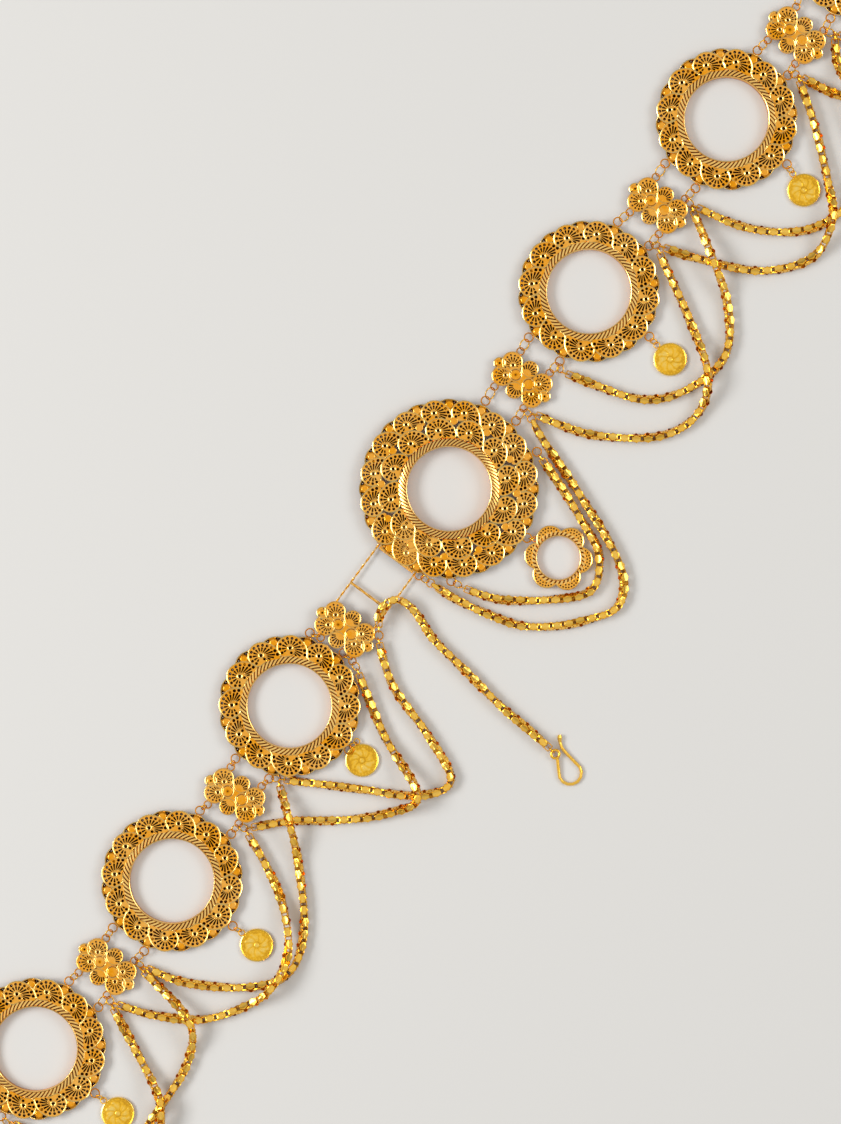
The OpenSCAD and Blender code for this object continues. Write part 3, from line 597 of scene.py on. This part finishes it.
metal = Goldwork()
metal.add(*fluted_bezel(seat_radius, buckle_bezel_outer, buckle_bezel_height, buckle_low + sheet_thick + 0.2,
                        flutes=72))
for k in range(16):
    angle = outer_row_turn + 22.5 * k
    height = buckle_low + 0.04 * (k % 2)
    metal.join(one_rosette, rosette_place(outer_row_reach, angle, height, off_turn=1.5, off_level=1.0,
                                          size=buckle_rosette_size))
    metal.join(granule_cup, around(outer_granule_reach, angle + 11.2, buckle_low))
for k in range(12):
    angle = inner_row_turn + 30 * k
    height = buckle_low + inner_row_lift + 0.04 * (k % 2)
    metal.join(one_rosette, rosette_place(inner_row_reach, angle, height, off_turn=2.0, off_level=1.0,
                                          size=buckle_rosette_size))
    metal.add(*button(inner_granule_radius, buckle_low, buckle_low + sheet_thick + 0.7),
              place=around(inner_granule_reach, angle - 14.5))
# Each soldered ring: distance and angle from the seat's middle, and height over the sheet's underside.
buckle_rings = [(40.94, 14.1, 0.1), (40.94, -7.9, 0.1), (40.94, -30.5, 0.1), (39.6, -85.5, 0.1),
                (39.3, 197.5, 0.35), (39.6, 218, 0.1)]
for reach, angle, lift in buckle_rings:
    solder_ring(metal, jump_ring, around(reach, angle, buckle_low + lift))

# The box of thin sheet under the buckle.
box_sheet = 0.35
box_half = 10.9
box_front = -36.9
box_back = -22.2
wall_top = buckle_low + 0.1
mouth_x = -38.6
mouth_half = 9.0


def sheet_box(low, high, tone):
    """A flat piece of sheet between two corners, with its upper edges a little rounded."""
    (x0, y0, z0), (x1, y1, z1) = low, high
    soft = min(0.12, 0.3 * (x1 - x0), 0.3 * (y1 - y0), 0.3 * (z1 - z0))
    rows = [(0.0, z0), (0.0, z1 - soft), (soft, z1)]
    points = []
    for inset, z in rows:
        points += [(x0 + inset, y0 + inset, z), (x1 - inset, y0 + inset, z),
                   (x1 - inset, y1 - inset, z), (x0 + inset, y1 - inset, z)]
    faces = [(3, 2, 1, 0), (8, 9, 10, 11)] + skin(3, 4)
    # Its foot is toned dark as painted shade and its rounded upper edge bright as a painted highlight.
    return points, faces, [tone - 0.2] * 4 + [tone] * 4 + [tone + 0.2] * 4


lid_corner = (mouth_x, -mouth_half, buckle_low + 0.02)
# Floor, two side walls, back wall, the lid under the rosettes, and the lip folded up at its edge.
sheets = [
    ((box_front, -box_half - box_sheet, 0.0), (box_back, box_half + box_sheet, box_sheet), 0.5),
    ((box_front, -box_half - box_sheet, 0.0), (box_back, -box_half, wall_top), 0.5),
    ((box_front, box_half, 0.0), (box_back, box_half + box_sheet, wall_top), 0.5),
    ((box_back - box_sheet, -box_half, 0.0), (box_back, box_half, wall_top), 0.5),
    (lid_corner, (box_back, mouth_half, buckle_low + 0.4), 0.4),
    (lid_corner, (mouth_x + 0.9, mouth_half, buckle_low + 1.2), 0.55)]
for low, high, tone in sheets:
    metal.add(*sheet_box(low, high, tone))
metal.make("buckle_filigree", filigree_gold, "gold_filigree", "buckle")


# Connectors.
# Small lobed plates between the frames: four rosettes, two plain domes in the middle, a lobe
# on each side and one with a granule at each end, with a soldered ring at each corner.
connectors = {1: (-252.4, -4.4, -2), 2: (-160.5, -4.7, 5), 4: (56.3, 2.8, 0), 5: (151.0, 0.8, 0),
              6: (245.1, -3.2, -4)}
small_ring = 1.58
corner_ring_x, corner_ring_y = 9.4, 7.8
lobe_x, lobe_y = 3.6, 7.9
lobe_radius = 4.56
waist_x = 5.6
waist_radius = 3.7
fan_x = 3.2
end_y = 12.0
dome_y = 3.5
# The plain rim wires are toned bright as a painted highlight.
rim_highlight_tone = 0.85
corners = [(sx, sy) for sx in (-1, 1) for sy in (-1, 1)]


def rimmed_lobe(metal, x, y, radius, parts, gaps, high, rim_inset, rim_high):
    """A round lobe of pierced sheet with a plain wire soldered round its edge."""
    metal.add(*pierced_sheet(disc_loop(x, y, radius, parts), gaps, 0.0, high))
    rim = [point + (rim_high,) for point in disc_loop(x, y, radius - rim_inset, 24)]
    metal.add(*wire(rim, rim_wire, closed=True, tone=rim_highlight_tone))


def corner_lobe(metal, sx, sy):
    """A rosette at one corner: its eye lies nearer the plate's middle, and its slots fan outward."""
    middle = Vector((sx * lobe_x, sy * lobe_y))
    outward = math.degrees(math.atan2(sy * 1.0, sx * 0.9))
    eye = middle - Vector(polar(1.4, outward))
    gaps = [disc_loop(eye.x, eye.y, 0.64, 12)]
    for k in range(-5, 6):
        angle = outward + 23 * k
        reach = 4.55 - 0.28 * abs(k)
        gaps.append(shifted(slot_gap(angle, 1.45, reach - 0.85, 0.34, 0.66), eye.x, eye.y))
        hole = eye + Vector(polar(reach - 0.1, angle))
        if (hole - middle).length < lobe_radius - 0.85:
            gaps.append(disc_loop(hole.x, hole.y, 0.46, 7))
    high = sheet_thick - (0.04 if sx * sy > 0 else 0.0)
    rimmed_lobe(metal, sx * lobe_x, sy * lobe_y, lobe_radius, 30, gaps, high, 0.26, sheet_thick + 0.12)
    # Its collar is toned bright as a painted highlight.
    metal.add(*round_wire(0.85, 0.22, 14, 6, tone=0.9), place=at(eye.x, eye.y, sheet_thick + 0.15))


def waist_lobe(metal, side):
    """A half rosette at one side, whose slots and holes fan out from beside the domes."""
    toward = 0 if side > 0 else 180
    gaps = [shifted(slot_gap(toward + 19 * k, 1.9, 4.5 - 0.25 * abs(k), 0.4, 0.8), side * fan_x, 0.0)
            for k in range(-3, 4)]
    for k in range(-2, 3):
        hole_x, hole_y = polar(5.25 - 0.25 * abs(k), toward + side * 16 * k)
        gaps.append(disc_loop(side * fan_x + hole_x, hole_y, 0.38, 7))
    rimmed_lobe(metal, side * waist_x, 0.0, waist_radius, 24, gaps, sheet_thick - 0.1, 0.25, sheet_thick + 0.05)


def end_lobe(metal, side):
    """The small lobe at one end: sheet with two holes, a wire collar and a dented granule."""
    gaps = [disc_loop(*polar(1.98, side * 90 + spread), 0.42, 7) for spread in (-74, 74)]
    lobe = pierced_sheet(disc_loop(0.0, 0.0, 2.6, 24), gaps, 0.0, sheet_thick - 0.2)
    metal.add(*lobe, place=at(0, side * end_y))
    metal.add(*round_wire(2.4, arc_wire, 20, 6, tone=collar_highlight_tone), place=at(0, side * end_y, sheet_thick - 0.1))
    metal.add(*button(granule_radius, 0.0, sheet_thick + 0.3, hollow=0.4), place=at(0, side * end_y))


def waist_dome(metal, side):
    """A plain dome in a wire collar, on a wider disc toned dark as a painted shadow round it; the one towards +Y
    has a dent in its middle.
    """
    dent = 0.3 if side > 0 else 0.0
    metal.add(*button(2.8, 0.0, sheet_thick + 0.02, parts=24, tone=0.05), place=at(0, side * dome_y))
    metal.add(*button(2.2, 0.0, sheet_thick + 0.62, parts=24, hollow=dent), place=at(0, side * dome_y))
    metal.add(*round_wire(2.6, 0.22, 24, 6, tone=collar_highlight_tone), place=at(0, side * dome_y, sheet_thick + 0.2))


def oblong_sheet(half_x, half_y, low, high, tone):
    """A plain oblong of sheet about the middle."""
    outline = [(half_x, half_y), (-half_x, half_y), (-half_x, -half_y), (half_x, -half_y)]
    return pierced_sheet(outline, [], low, high, tone)


one_connector = Goldwork()
for sx, sy in corners:
    corner_lobe(one_connector, sx, sy)
for side in (-1, 1):
    waist_lobe(one_connector, side)
    end_lobe(one_connector, side)
    waist_dome(one_connector, side)
# A thin sheet behind joins the lobes; seen through the piercings it lies in their shade, and is
# painted dark as that shade. A thicker one on it fills the waist between the two fans.
backing_thick = 0.3
one_connector.add(*oblong_sheet(3.4, 9.5, 0.0, backing_thick, tone=0.0))
one_connector.add(*oblong_sheet(2.9, 3.6, backing_thick, sheet_thick - 0.14, tone=0.55))

for number, (x, y, turn) in connectors.items():
    metal = Goldwork()
    metal.join(one_connector, at(x, y, plate_low, turn))
    for sx, sy in corners:
        corner_place = at(sx * corner_ring_x, sy * corner_ring_y)
        solder_ring(metal, small_ring, at(x, y, plate_low + ring_lift, turn) @ corner_place)
    metal.make(f"connector_{number}_filigree", filigree_gold, "gold_filigree", f"connector_{number}")


# Tongue.
# The connector beside the buckle carries two long wires of twisted gold with a bar across, all
# soldered; their free ends slide into the buckle's box. Its rings lie on top of the plate.
tongue_x, tongue_y = -75.1, -0.1
tongue_low = 2.7
tongue_ring_height = tongue_low + sheet_thick + 0.2
wire_side = 9.9
wire_start = Vector((-70.5, 0.0, 2.6))
wire_end = Vector((-24.0, 0.0, 1.35))
bar_x = -57.4

metal = Goldwork()
metal.join(one_connector, at(tongue_x, tongue_y, tongue_low))
# Its rings: distance from the plate's middle along X and Y, and radius.
for x, y, radius in ((-9.0, 6.2, small_ring), (-8.9, -10.7, small_ring), (6.6, -13.2, jump_ring)):
    solder_ring(metal, radius, at(tongue_x + x, tongue_y + y, tongue_ring_height))


def twisted(start, end, radius, pitch, deep, sides, lobes=2, tone=0.75):
    """A straight twisted rod: its cross section has lobes, and turns on by one lobe in each pitch."""
    run = (end - start).length
    steps = int(run / pitch * 10)
    along = (end - start).normalized()
    side = Vector((0, 0, 1)).cross(along).normalized()
    rise = along.cross(side)
    points = []
    tones = []
    for i in range(steps + 1):
        spin = 2 * math.pi * i / steps * run / pitch
        for k in range(sides):
            a = 2 * math.pi * k / sides
            lobe = 0.5 + 0.5 * math.cos(lobes * a - spin)
            r = radius * (1 - deep * (1 - lobe))
            points.append(start + (end - start) * i / steps + r * (math.cos(a) * side + math.sin(a) * rise))
            # The lobes are toned bright as a painted highlight and the hollows between them dark as painted
            # shade.
            tones.append(tone - 0.35 * (1 - lobe) + 0.25 * lobe)
    faces = skin(steps + 1, sides)
    faces.append(tuple(range(sides - 1, -1, -1)))
    faces.append(tuple(steps * sides + k for k in range(sides)))
    return points, faces, tones


for side in (-1, 1):
    shift = Vector((0.0, side * wire_side, 0.0))
    metal.add(*twisted(wire_start + shift, wire_end + shift, radius=0.5, pitch=3.6, deep=0.45, sides=10))
# The bar crosses the wires at the height that they have there.
wire_slope = (wire_start.z - wire_end.z) / (wire_end.x - wire_start.x)
bar_height = wire_end.z + (wire_end.x - bar_x) * wire_slope
metal.add(*twisted(Vector((bar_x, -wire_side, bar_height)), Vector((bar_x, wire_side, bar_height)),
                   radius=0.65, pitch=5.0, deep=0.12, sides=12, lobes=4, tone=0.8))
metal.make("tongue_filigree", filigree_gold, "gold_filigree", "tongue_plate")


# Chains.
# Belcher chain of bent gold band: each link is a rounded square of flat band, a quarter turn
# from the next. Each chain has a round ring at either end, and hangs from ring to ring.
link_long = 4.1
flat_link_wide = 2.9
upright_link_wide = 3.6
last_link_wide = 3.3
band_thick = 0.42
band_broad = 3.5
last_band_broad = 2.2
link_pitch = 2.5
ring_to_link = 2.5
end_ring = 1.75
holder_to_ring = 2.9
half_span = 0.9
most_sway = 26
sway_length = 9.5
# The brown is painted shade in the gaps and insides, and the pale colour a painted highlight on the band's
# middle.
chain_shade_brown = (0.40, 0.13, 0.006)
chain_orange = (0.98, 0.49, 0.03)
chain_highlight_pale = (1.0, 0.64, 0.13)
chain_gold = gold_finish("chain_gold", chain_shade_brown, chain_orange, chain_highlight_pale, grain=0.6, polish=0.12)


def rounded_square(long, wide, corner):
    """Sixteen points: three on each corner and one in the middle of each side."""
    loop = []
    for sx, sy, mid in ((1, 1, (0, 1)), (-1, 1, (-1, 0)), (-1, -1, (0, -1)), (1, -1, (1, 0))):
        cuts = [(0.0, corner), (0.3 * corner, 0.3 * corner), (corner, 0.0)]
        if sx * sy < 0:
            cuts.reverse()
        loop.extend((sx * (long / 2 - cx), sy * (wide / 2 - cy)) for cx, cy in cuts)
        loop.append((mid[0] * long / 2, mid[1] * wide / 2))
    return loop


def band_link(broad, wide):
    """One link about the origin: long along X, wide along Y, its band standing along Z. The band is
    broadest in the middle of each side and hammered in there, so that its flats catch the light."""
    outer = rounded_square(link_long, wide, 0.5)
    inner = rounded_square(link_long - 2 * band_thick, wide - 2 * band_thick, 0.35)
    # Outline, height as a share of half the band, tone, and how far it is drawn in: all round, and
    # in the middle of the sides.
    rows = [(inner, -1.0, 0.3, 0.0, 0.0), (outer, -0.97, 0.5, 0.12, 0.0), (outer, -0.8, 0.65, 0.0, 0.0),
            (outer, -0.4, 0.9, 0.0, 0.12), (outer, 0.0, 1.0, 0.0, 0.36), (outer, 0.4, 0.9, 0.0, 0.12),
            (outer, 0.8, 0.65, 0.0, 0.0), (outer, 0.97, 0.5, 0.12, 0.0), (inner, 1.0, 0.3, 0.0, 0.0)]
    points = []
    tones = []
    for loop, share, tone, inset, dent in rows:
        for i, (px, py) in enumerate(loop):
            middle = i % 4 == 3
            half = broad / 2 * (1.0 if middle else 0.6)
            size = 1 - (inset + (dent if middle else 0.0)) / 2
            points.append((px * size, py * size, share * half))
            # The band's middle is toned bright as a painted highlight, its edges and inside dark as painted
            # shade, and its corners and dents darker still.
            tones.append(tone - (0.12 if dent and middle else 0.3 if i % 4 == 1 else 0.0))
    return points, skin(len(rows), len(outer), closed=True), tones


def eased_route(points):
    """A smooth curve through the points, whose height never dips below theirs."""
    parts = 12
    flat = smooth_loop([(p[0], p[1]) for p in points], parts, closed=False)
    out = []
    for i, (x, y) in enumerate(flat):
        span, step = divmod(i, parts)
        t = step / parts
        low = points[span][2]
        high = points[min(span + 1, len(points) - 1)][2]
        out.append(Vector((x, y, low + (high - low) * t * t * (3 - 2 * t))))
    return out


def facing(place, direction, roll):
    """Place of a link: +X along direction, rolled about it."""
    flat = math.hypot(direction.x, direction.y)
    return (Matrix.Translation(place) @ Matrix.Rotation(math.atan2(direction.y, direction.x), 4, "Z")
            @ Matrix.Rotation(-math.atan2(direction.z, flat), 4, "Y")
            @ Matrix.Rotation(math.radians(roll), 4, "X"))


upright_link = band_link(band_broad, upright_link_wide)
flat_link = band_link(band_broad, flat_link_wide)
last_link = band_link(last_band_broad, last_link_wide)


def link_chain(metal, route, first_roll, ring_roll, swing, seed):
    """Links along route, whose ends are the middles of the round end rings."""
    curve = eased_route(route)
    lengths = [0.0]
    for a, b in zip(curve, curve[1:]):
        lengths.append(lengths[-1] + (b - a).length)

    def point_at(s):
        s = min(max(s, 0.0), lengths[-1])
        i = 0
        while i < len(lengths) - 2 and lengths[i + 1] < s:
            i += 1
        return curve[i] + (curve[i + 1] - curve[i]) * (s - lengths[i]) / (lengths[i + 1] - lengths[i])

    # An odd number of links, so that the first and the last one lie the same way.
    linked = lengths[-1] - 2 * ring_to_link
    fits = int(linked / link_pitch) + 1
    count = fits if fits % 2 else fits - 1
    step = linked / (count - 1)
    wobble = random.Random(seed)
    for i in range(count):
        s = ring_to_link + i * step
        before, after = point_at(s - half_span), point_at(s + half_span)
        at_end = i in (0, count - 1)
        sway = most_sway * math.sin(s / sway_length + seed) + wobble.uniform(-swing, swing)
        roll = first_roll + 90 * i + (0 if at_end else sway)
        shape = last_link if at_end else upright_link if (first_roll // 90 + i) % 2 else flat_link
        place = facing((before + after) / 2, after - before, roll)
        # A rolled link lies on the floor, not in it.
        sunk = min(0.0, *((place @ Vector(p)).z for p in shape[0]))
        metal.add(*shape, place=at(0, 0, -sunk) @ place)
    metal.add(*round_wire(end_ring, jump_wire), place=facing(curve[0], curve[1] - curve[0], ring_roll))
    metal.add(*round_wire(end_ring, jump_wire), place=facing(curve[-1], curve[-1] - curve[-2], ring_roll))


def lying(route, low):
    """The route with a height at each point: low, where it has none."""
    return [point if len(point) == 3 else point + (low,) for point in route]


# Each swag: the middles of the two rings that it hangs on, then its route in the CAD, on the floor
# or over another swag. The route's first and last points only say which way it leaves its rings.
holder_low = 2.25
swag_low = 2.0
over = 7.2
swags = {
    1: (((254.8, -14.3), (323.3, -15.9)), [
        (256.5, -17.6), (259.5, -37), (272, -57), (294, -60.5), (312, -42), (321.6, -19)]),
    2: (((231.5, -12.9), (323.3, -15.9)), [
        (232.6, -17.2), (235.8, -34), (249, -56), (273, -71), (300, -65.5), (319.5, -43), (325.6, -19)]),
    3: (((254.8, -14.3), (160.0, -9.7)), [
        (254.3, -17.6), (246, -24.8, 2.8), (237.7, -37.1, over), (219, -56.5), (200, -64.3), (180.5, -56.6),
        (166.5, -36), (160.6, -14.2)]),
    4: (((231.5, -12.9), (136.9, -8.9)), [
        (230.4, -16.4), (218.5, -33.5), (203, -51.5, 2.6), (190.8, -62.6, 7.4), (173, -66, 2.4), (155, -51.5),
        (142.4, -25), (138.8, -13)]),
    5: (((160.0, -9.7), (70.0, -7.4)), [
        (158.4, -13), (146, -32.4, over), (134.5, -49, 2.4), (117, -61), (97, -57.4), (80, -43),
        (69.4, -11)]),
    6: (((136.9, -8.9), (46.7, -7.7)), [
        (135, -12.6), (119.5, -40), (105.5, -59.6, over), (90, -66.5, 2.4), (72, -58.8), (55, -35),
        (48.4, -12.4)]),
    7: (((-68.5, -13.3, 4.0), (-144.1, -14.6)), [
        (-71.6, -15.8), (-82.5, -31.5), (-90.5, -56.5), (-100, -75.5), (-113.5, -68), (-127, -45),
        (-142.2, -18.2)]),
    8: (((-84.9, -13.4, 4.0), (-169.4, -16.0)), [
        (-87.2, -16.9), (-101.5, -40.5), (-113.2, -67.6, 7.6), (-126.5, -62.7, 2.4), (-142, -47.5),
        (-155.3, -30.3), (-166.8, -19.6)]),
    9: (((-144.1, -14.6), (-243.0, -15.3)), [
        (-145.6, -18), (-155, -29.8, over), (-168.5, -45, 2.2), (-188.5, -62.5), (-207, -69), (-222, -60),
        (-237, -37), (-242.6, -19.2)]),
    10: (((-169.4, -16.0), (-263.2, -14.4)), [
        (-170.5, -19.6), (-182.5, -44.5, 2.2), (-199, -62.2, 6.2), (-216, -66.6, 6.8), (-229.5, -63, 2.4),
        (-246, -51), (-257.5, -32), (-262.6, -18.2)]),
    11: (((-243.0, -15.3), (-331.6, -9.5)), [
        (-245, -18.6), (-249, -45.8, over), (-263, -56.3, 2.4), (-285, -59), (-305, -57.3), (-323.5, -39),
        (-330.2, -12.8)]),
    12: (((-263.2, -14.4), (-331.6, -9.5)), [
        (-265.4, -17.8), (-275.6, -40, 2.2), (-286, -58.8, over), (-303, -66.5, 2.2), (-322, -57.5),
        (-334.5, -35), (-334, -13.2)]),
}
for number, (holders, route) in swags.items():
    route = lying(route, swag_low)
    first, last = (Vector(h) for h in lying(holders, holder_low))
    head = first + (Vector(route[0]) - first).normalized() * holder_to_ring
    tail = last + (Vector(route[-1]) - last).normalized() * holder_to_ring
    whole = [head.to_tuple()] + route[1:-1] + [tail.to_tuple()]
    metal = Goldwork()
    link_chain(metal, whole, first_roll=0, ring_roll=90, swing=10, seed=20 + number)
    metal.make(f"swag_{number}_chain", chain_gold, "gold_chain", f"swag_{number}", crease=30.0)

# The chains of real links: the route, and the rolls of the first link and of the end rings.
linked_low = 2.05
linked_routes = {
    "buckle_swag_outer": ([
        (45.3, -10.4, 2.2), (41, -19.5), (36, -34), (31, -48), (24, -66), (17, -79), (10, -86), (1, -88),
        (-8, -82.5), (-19, -73), (-28.5, -60), (-33, -46), (-36.3, -31), (-37.2, -17.8, 2.8)], 90, 0),
    "buckle_swag_inner": ([
        (34.2, -23.7, 2.6), (32.6, -28.5), (28.6, -40), (23.6, -52.5), (21.3, -58.5), (17, -67.3),
        (9.4, -73.2), (2.6, -75), (-4.2, -71.6), (-16, -58.8), (-24.5, -47), (-28, -39),
        (-30.4, -30.3, 2.6)], 0, 90),
    "safety_chain": ([
        (-66.1, -11.6, 4.2), (-61.2, -8.3, 5.2), (-56, -7.8, 5.3), (-51.6, -10.2, 5.1), (-50.4, -15.6, 4.0),
        (-51.9, -23, 2.3), (-55.6, -33), (-58.7, -53), (-61.5, -73), (-62.7, -92), (-63.75, -102.2, 2.2)], 0, 90),
}
for seed, (node, (route, first_roll, ring_roll)) in enumerate(linked_routes.items(), 40):
    metal = Goldwork()
    link_chain(metal, lying(route, linked_low), first_roll, ring_roll, swing=8, seed=seed)
    metal.make(f"{node}_links", chain_gold, "gold_chain", node, crease=30.0)


# Flower drop.
# Six petals of pierced sheet round an empty coin seat, whose bezel is a coarse rope of gold.
flower_x, flower_y, flower_turn = 4.3, -55.4, 1
flower_low = 0.9
flower_seat_radius = 9.25
flower_bezel_outer = 11.6
flower_bezel_height = 2.9
flower_ring = 1.1
flower_ring_reach = 13.0
petal_reach = 8.8
petal_radius = 5.9
metal = Goldwork()
metal.add(*fluted_bezel(flower_seat_radius, flower_bezel_outer, flower_bezel_height,
                        flower_low + sheet_thick + 0.1, flutes=36),
          place=at(flower_x, flower_y, 0, flower_turn))
for k in range(6):
    # A crescent: its outer arc ends where its inner one meets it, under the bezel.
    edge = [polar(petal_radius, a) for a in range(-84, 85, 12)]
    inner_arc = [polar(flower_bezel_outer - 0.5, a) for a in (24, 12, 0, -12, -24)]
    edge += shifted(inner_arc, -petal_reach, 0.0)
    gaps = [disc_loop(*polar(4.75, 15 * i), 0.38) for i in range(-4, 5)]
    gaps += [disc_loop(*polar(3.6, a), 0.36) for a in (-33, -11, 11, 33)]
    place = at(flower_x, flower_y, flower_low + 0.03 * (k % 2), flower_turn + 60 * k) @ at(petal_reach, 0)
    metal.add(*pierced_sheet(edge, gaps, 0.0, sheet_thick), place=place)
    rim = [polar(petal_radius - 0.26, a) + (sheet_thick + 0.12,) for a in range(-84, 85, 7)]
    metal.add(*wire(rim, 0.28, tone=rim_highlight_tone), place=place)
metal.add(*round_wire(flower_ring, jump_wire, 18, 6),
          place=at(flower_x, flower_y) @ around(flower_ring_reach, 88, 1.45))
metal.make("flower_filigree", filigree_gold, "gold_filigree", "flower")


# Coin drops.
# Thin struck gold coins with a raised rim and a worn plain rosette of eight leaves, each with a
# small ring soldered on, by which it hangs from its frame.
coin_drops = [(-300.3, -46.0, 84), (-206.6, -50.7, 87), (-115.9, -39.6, 52), (101.4, -43.0, 80),
              (194.0, -45.7, 71), (287.2, -48.4, 71)]
coin_radius = 7.1
coin_thick = 1.0
coin_ring = 1.3
# The brown is painted shade and the pale colour a painted highlight; the orange is the coin's own colour.
coin_shade_brown = (0.36, 0.13, 0.008)
coin_orange = (1.0, 0.56, 0.035)
coin_highlight_pale = (1.0, 0.74, 0.2)
coin_gold = gold_finish("coin_gold", coin_shade_brown, coin_orange, coin_highlight_pale, grain=1.0, polish=0.16)
rim_wide, rim_high = 0.5, 0.26
bead_circle, bead_high = 6.05, 0.16
bud_circle, bud_high = 5.0, 0.2
leaf_circle, leaf_high = 3.2, 0.24
boss_radius, boss_high = 1.15, 0.22


def struck_height(r, angle):
    """Height over the coin's field: rim, a ring of small beads, buds, eight leaves and a middle boss."""
    if r > coin_radius - rim_wide:
        rise = min(1.0, (r - coin_radius + rim_wide) / 0.2)
        return rim_high * rise * (1.0 if r < coin_radius - 0.05 else 0.6)
    turn = math.radians(angle)
    beads = bead_high * max(0.0, math.cos(turn * 28)) * max(0.0, 1 - abs(r - bead_circle) / 0.35)
    # The leaves are a little curved, with a vein along each.
    bend = turn * 4 + 0.5 * math.sin(r)
    leaf = abs(math.cos(bend)) ** 0.7 * max(0.0, 1 - abs(r - leaf_circle) / 1.7) ** 0.5
    vein = 0.6 * max(0.0, 1 - abs(math.sin(bend)) * 4)
    bud = max(0.0, math.cos(turn * 8 + math.pi)) * max(0.0, 1 - abs(r - bud_circle) / 0.65)
    boss = max(0.0, 1 - (r / boss_radius) ** 2) ** 0.5
    wear_and_glint = 0.8 + 0.2 * math.sin(turn * 2 + 1.0)
    return wear_and_glint * (beads + leaf_high * leaf * (1 - vein) + bud_high * bud + boss_high * boss)


def struck_coin():
    """A coin on the floor, struck on its upper face, with its ring soldered on towards +X."""
    metal = Goldwork()
    spokes = 112
    rounds = 30
    points = [(0.0, 0.0, coin_thick + struck_height(0.0, 0.0))]
    tones = [0.6]
    for row in range(1, rounds + 1):
        r = coin_radius * row / rounds
        for i in range(spokes):
            angle = 360 * i / spokes
            height = struck_height(r, angle)
            points.append(polar(r, angle) + (coin_thick + height,))
            # The raised relief is toned lighter than the field, a painted highlight.
            tones.append(0.36 + 2.8 * height)
    faces = [(0, 1 + i, 1 + (i + 1) % spokes) for i in range(spokes)]
    faces += [(1 + a, 1 + c, 1 + d, 1 + b) for a, b, d, c in skin(rounds, spokes)]
    edge = 1 + (rounds - 1) * spokes
    under = len(points)
    points += [polar(coin_radius, 360 * i / spokes) + (0.0,) for i in range(spokes)]
    # The coin's side and underside are toned dark as painted shade.
    tones += [0.3] * spokes
    for i in range(spokes):
        j = (i + 1) % spokes
        faces.append((edge + i, under + i, under + j, edge + j))
    faces.append(tuple(under + i for i in reversed(range(spokes))))
    metal.add(points, faces, tones)
    metal.add(*round_wire(coin_ring, jump_wire, 20, 7), place=at(coin_radius + coin_ring, 0, 1.25))
    return metal


one_coin = struck_coin()
for number, (x, y, turn) in enumerate(coin_drops, 1):
    metal = Goldwork()
    metal.join(one_coin, at(x, y, 0, turn))
    metal.make(f"coin_{number}_struck", coin_gold, "gold_coins", f"coin_{number}", crease=50.0)


# Loose rings and hooks.
# Plain round wire bent by hand: these shapes are the CAD's own, and here they take their polish.
ring_orange = (0.82, 0.42, 0.018)
ring_pale = (1.0, 0.62, 0.09)
hook_orange = (1.0, 0.56, 0.06)
hook_pale = (1.0, 0.72, 0.22)
ring_gold = gold_finish("ring_gold", gap_shade_brown, ring_orange, ring_pale, grain=0.4, polish=0.1, tone=0.5)
hook_gold = gold_finish("hook_gold", gap_shade_brown, hook_orange, hook_pale, grain=0.4, polish=0.1, tone=0.6)
ring_nodes = [f"links_{i}" for i in range(1, 12)] + ["end_rings", "coin_links"]
hook_nodes = ["hook", "end_hook"]
for node in ring_nodes + hook_nodes:
    for slot in bpy.data.objects[node].material_slots:
        slot.material = hook_gold if node in hook_nodes else ring_gold
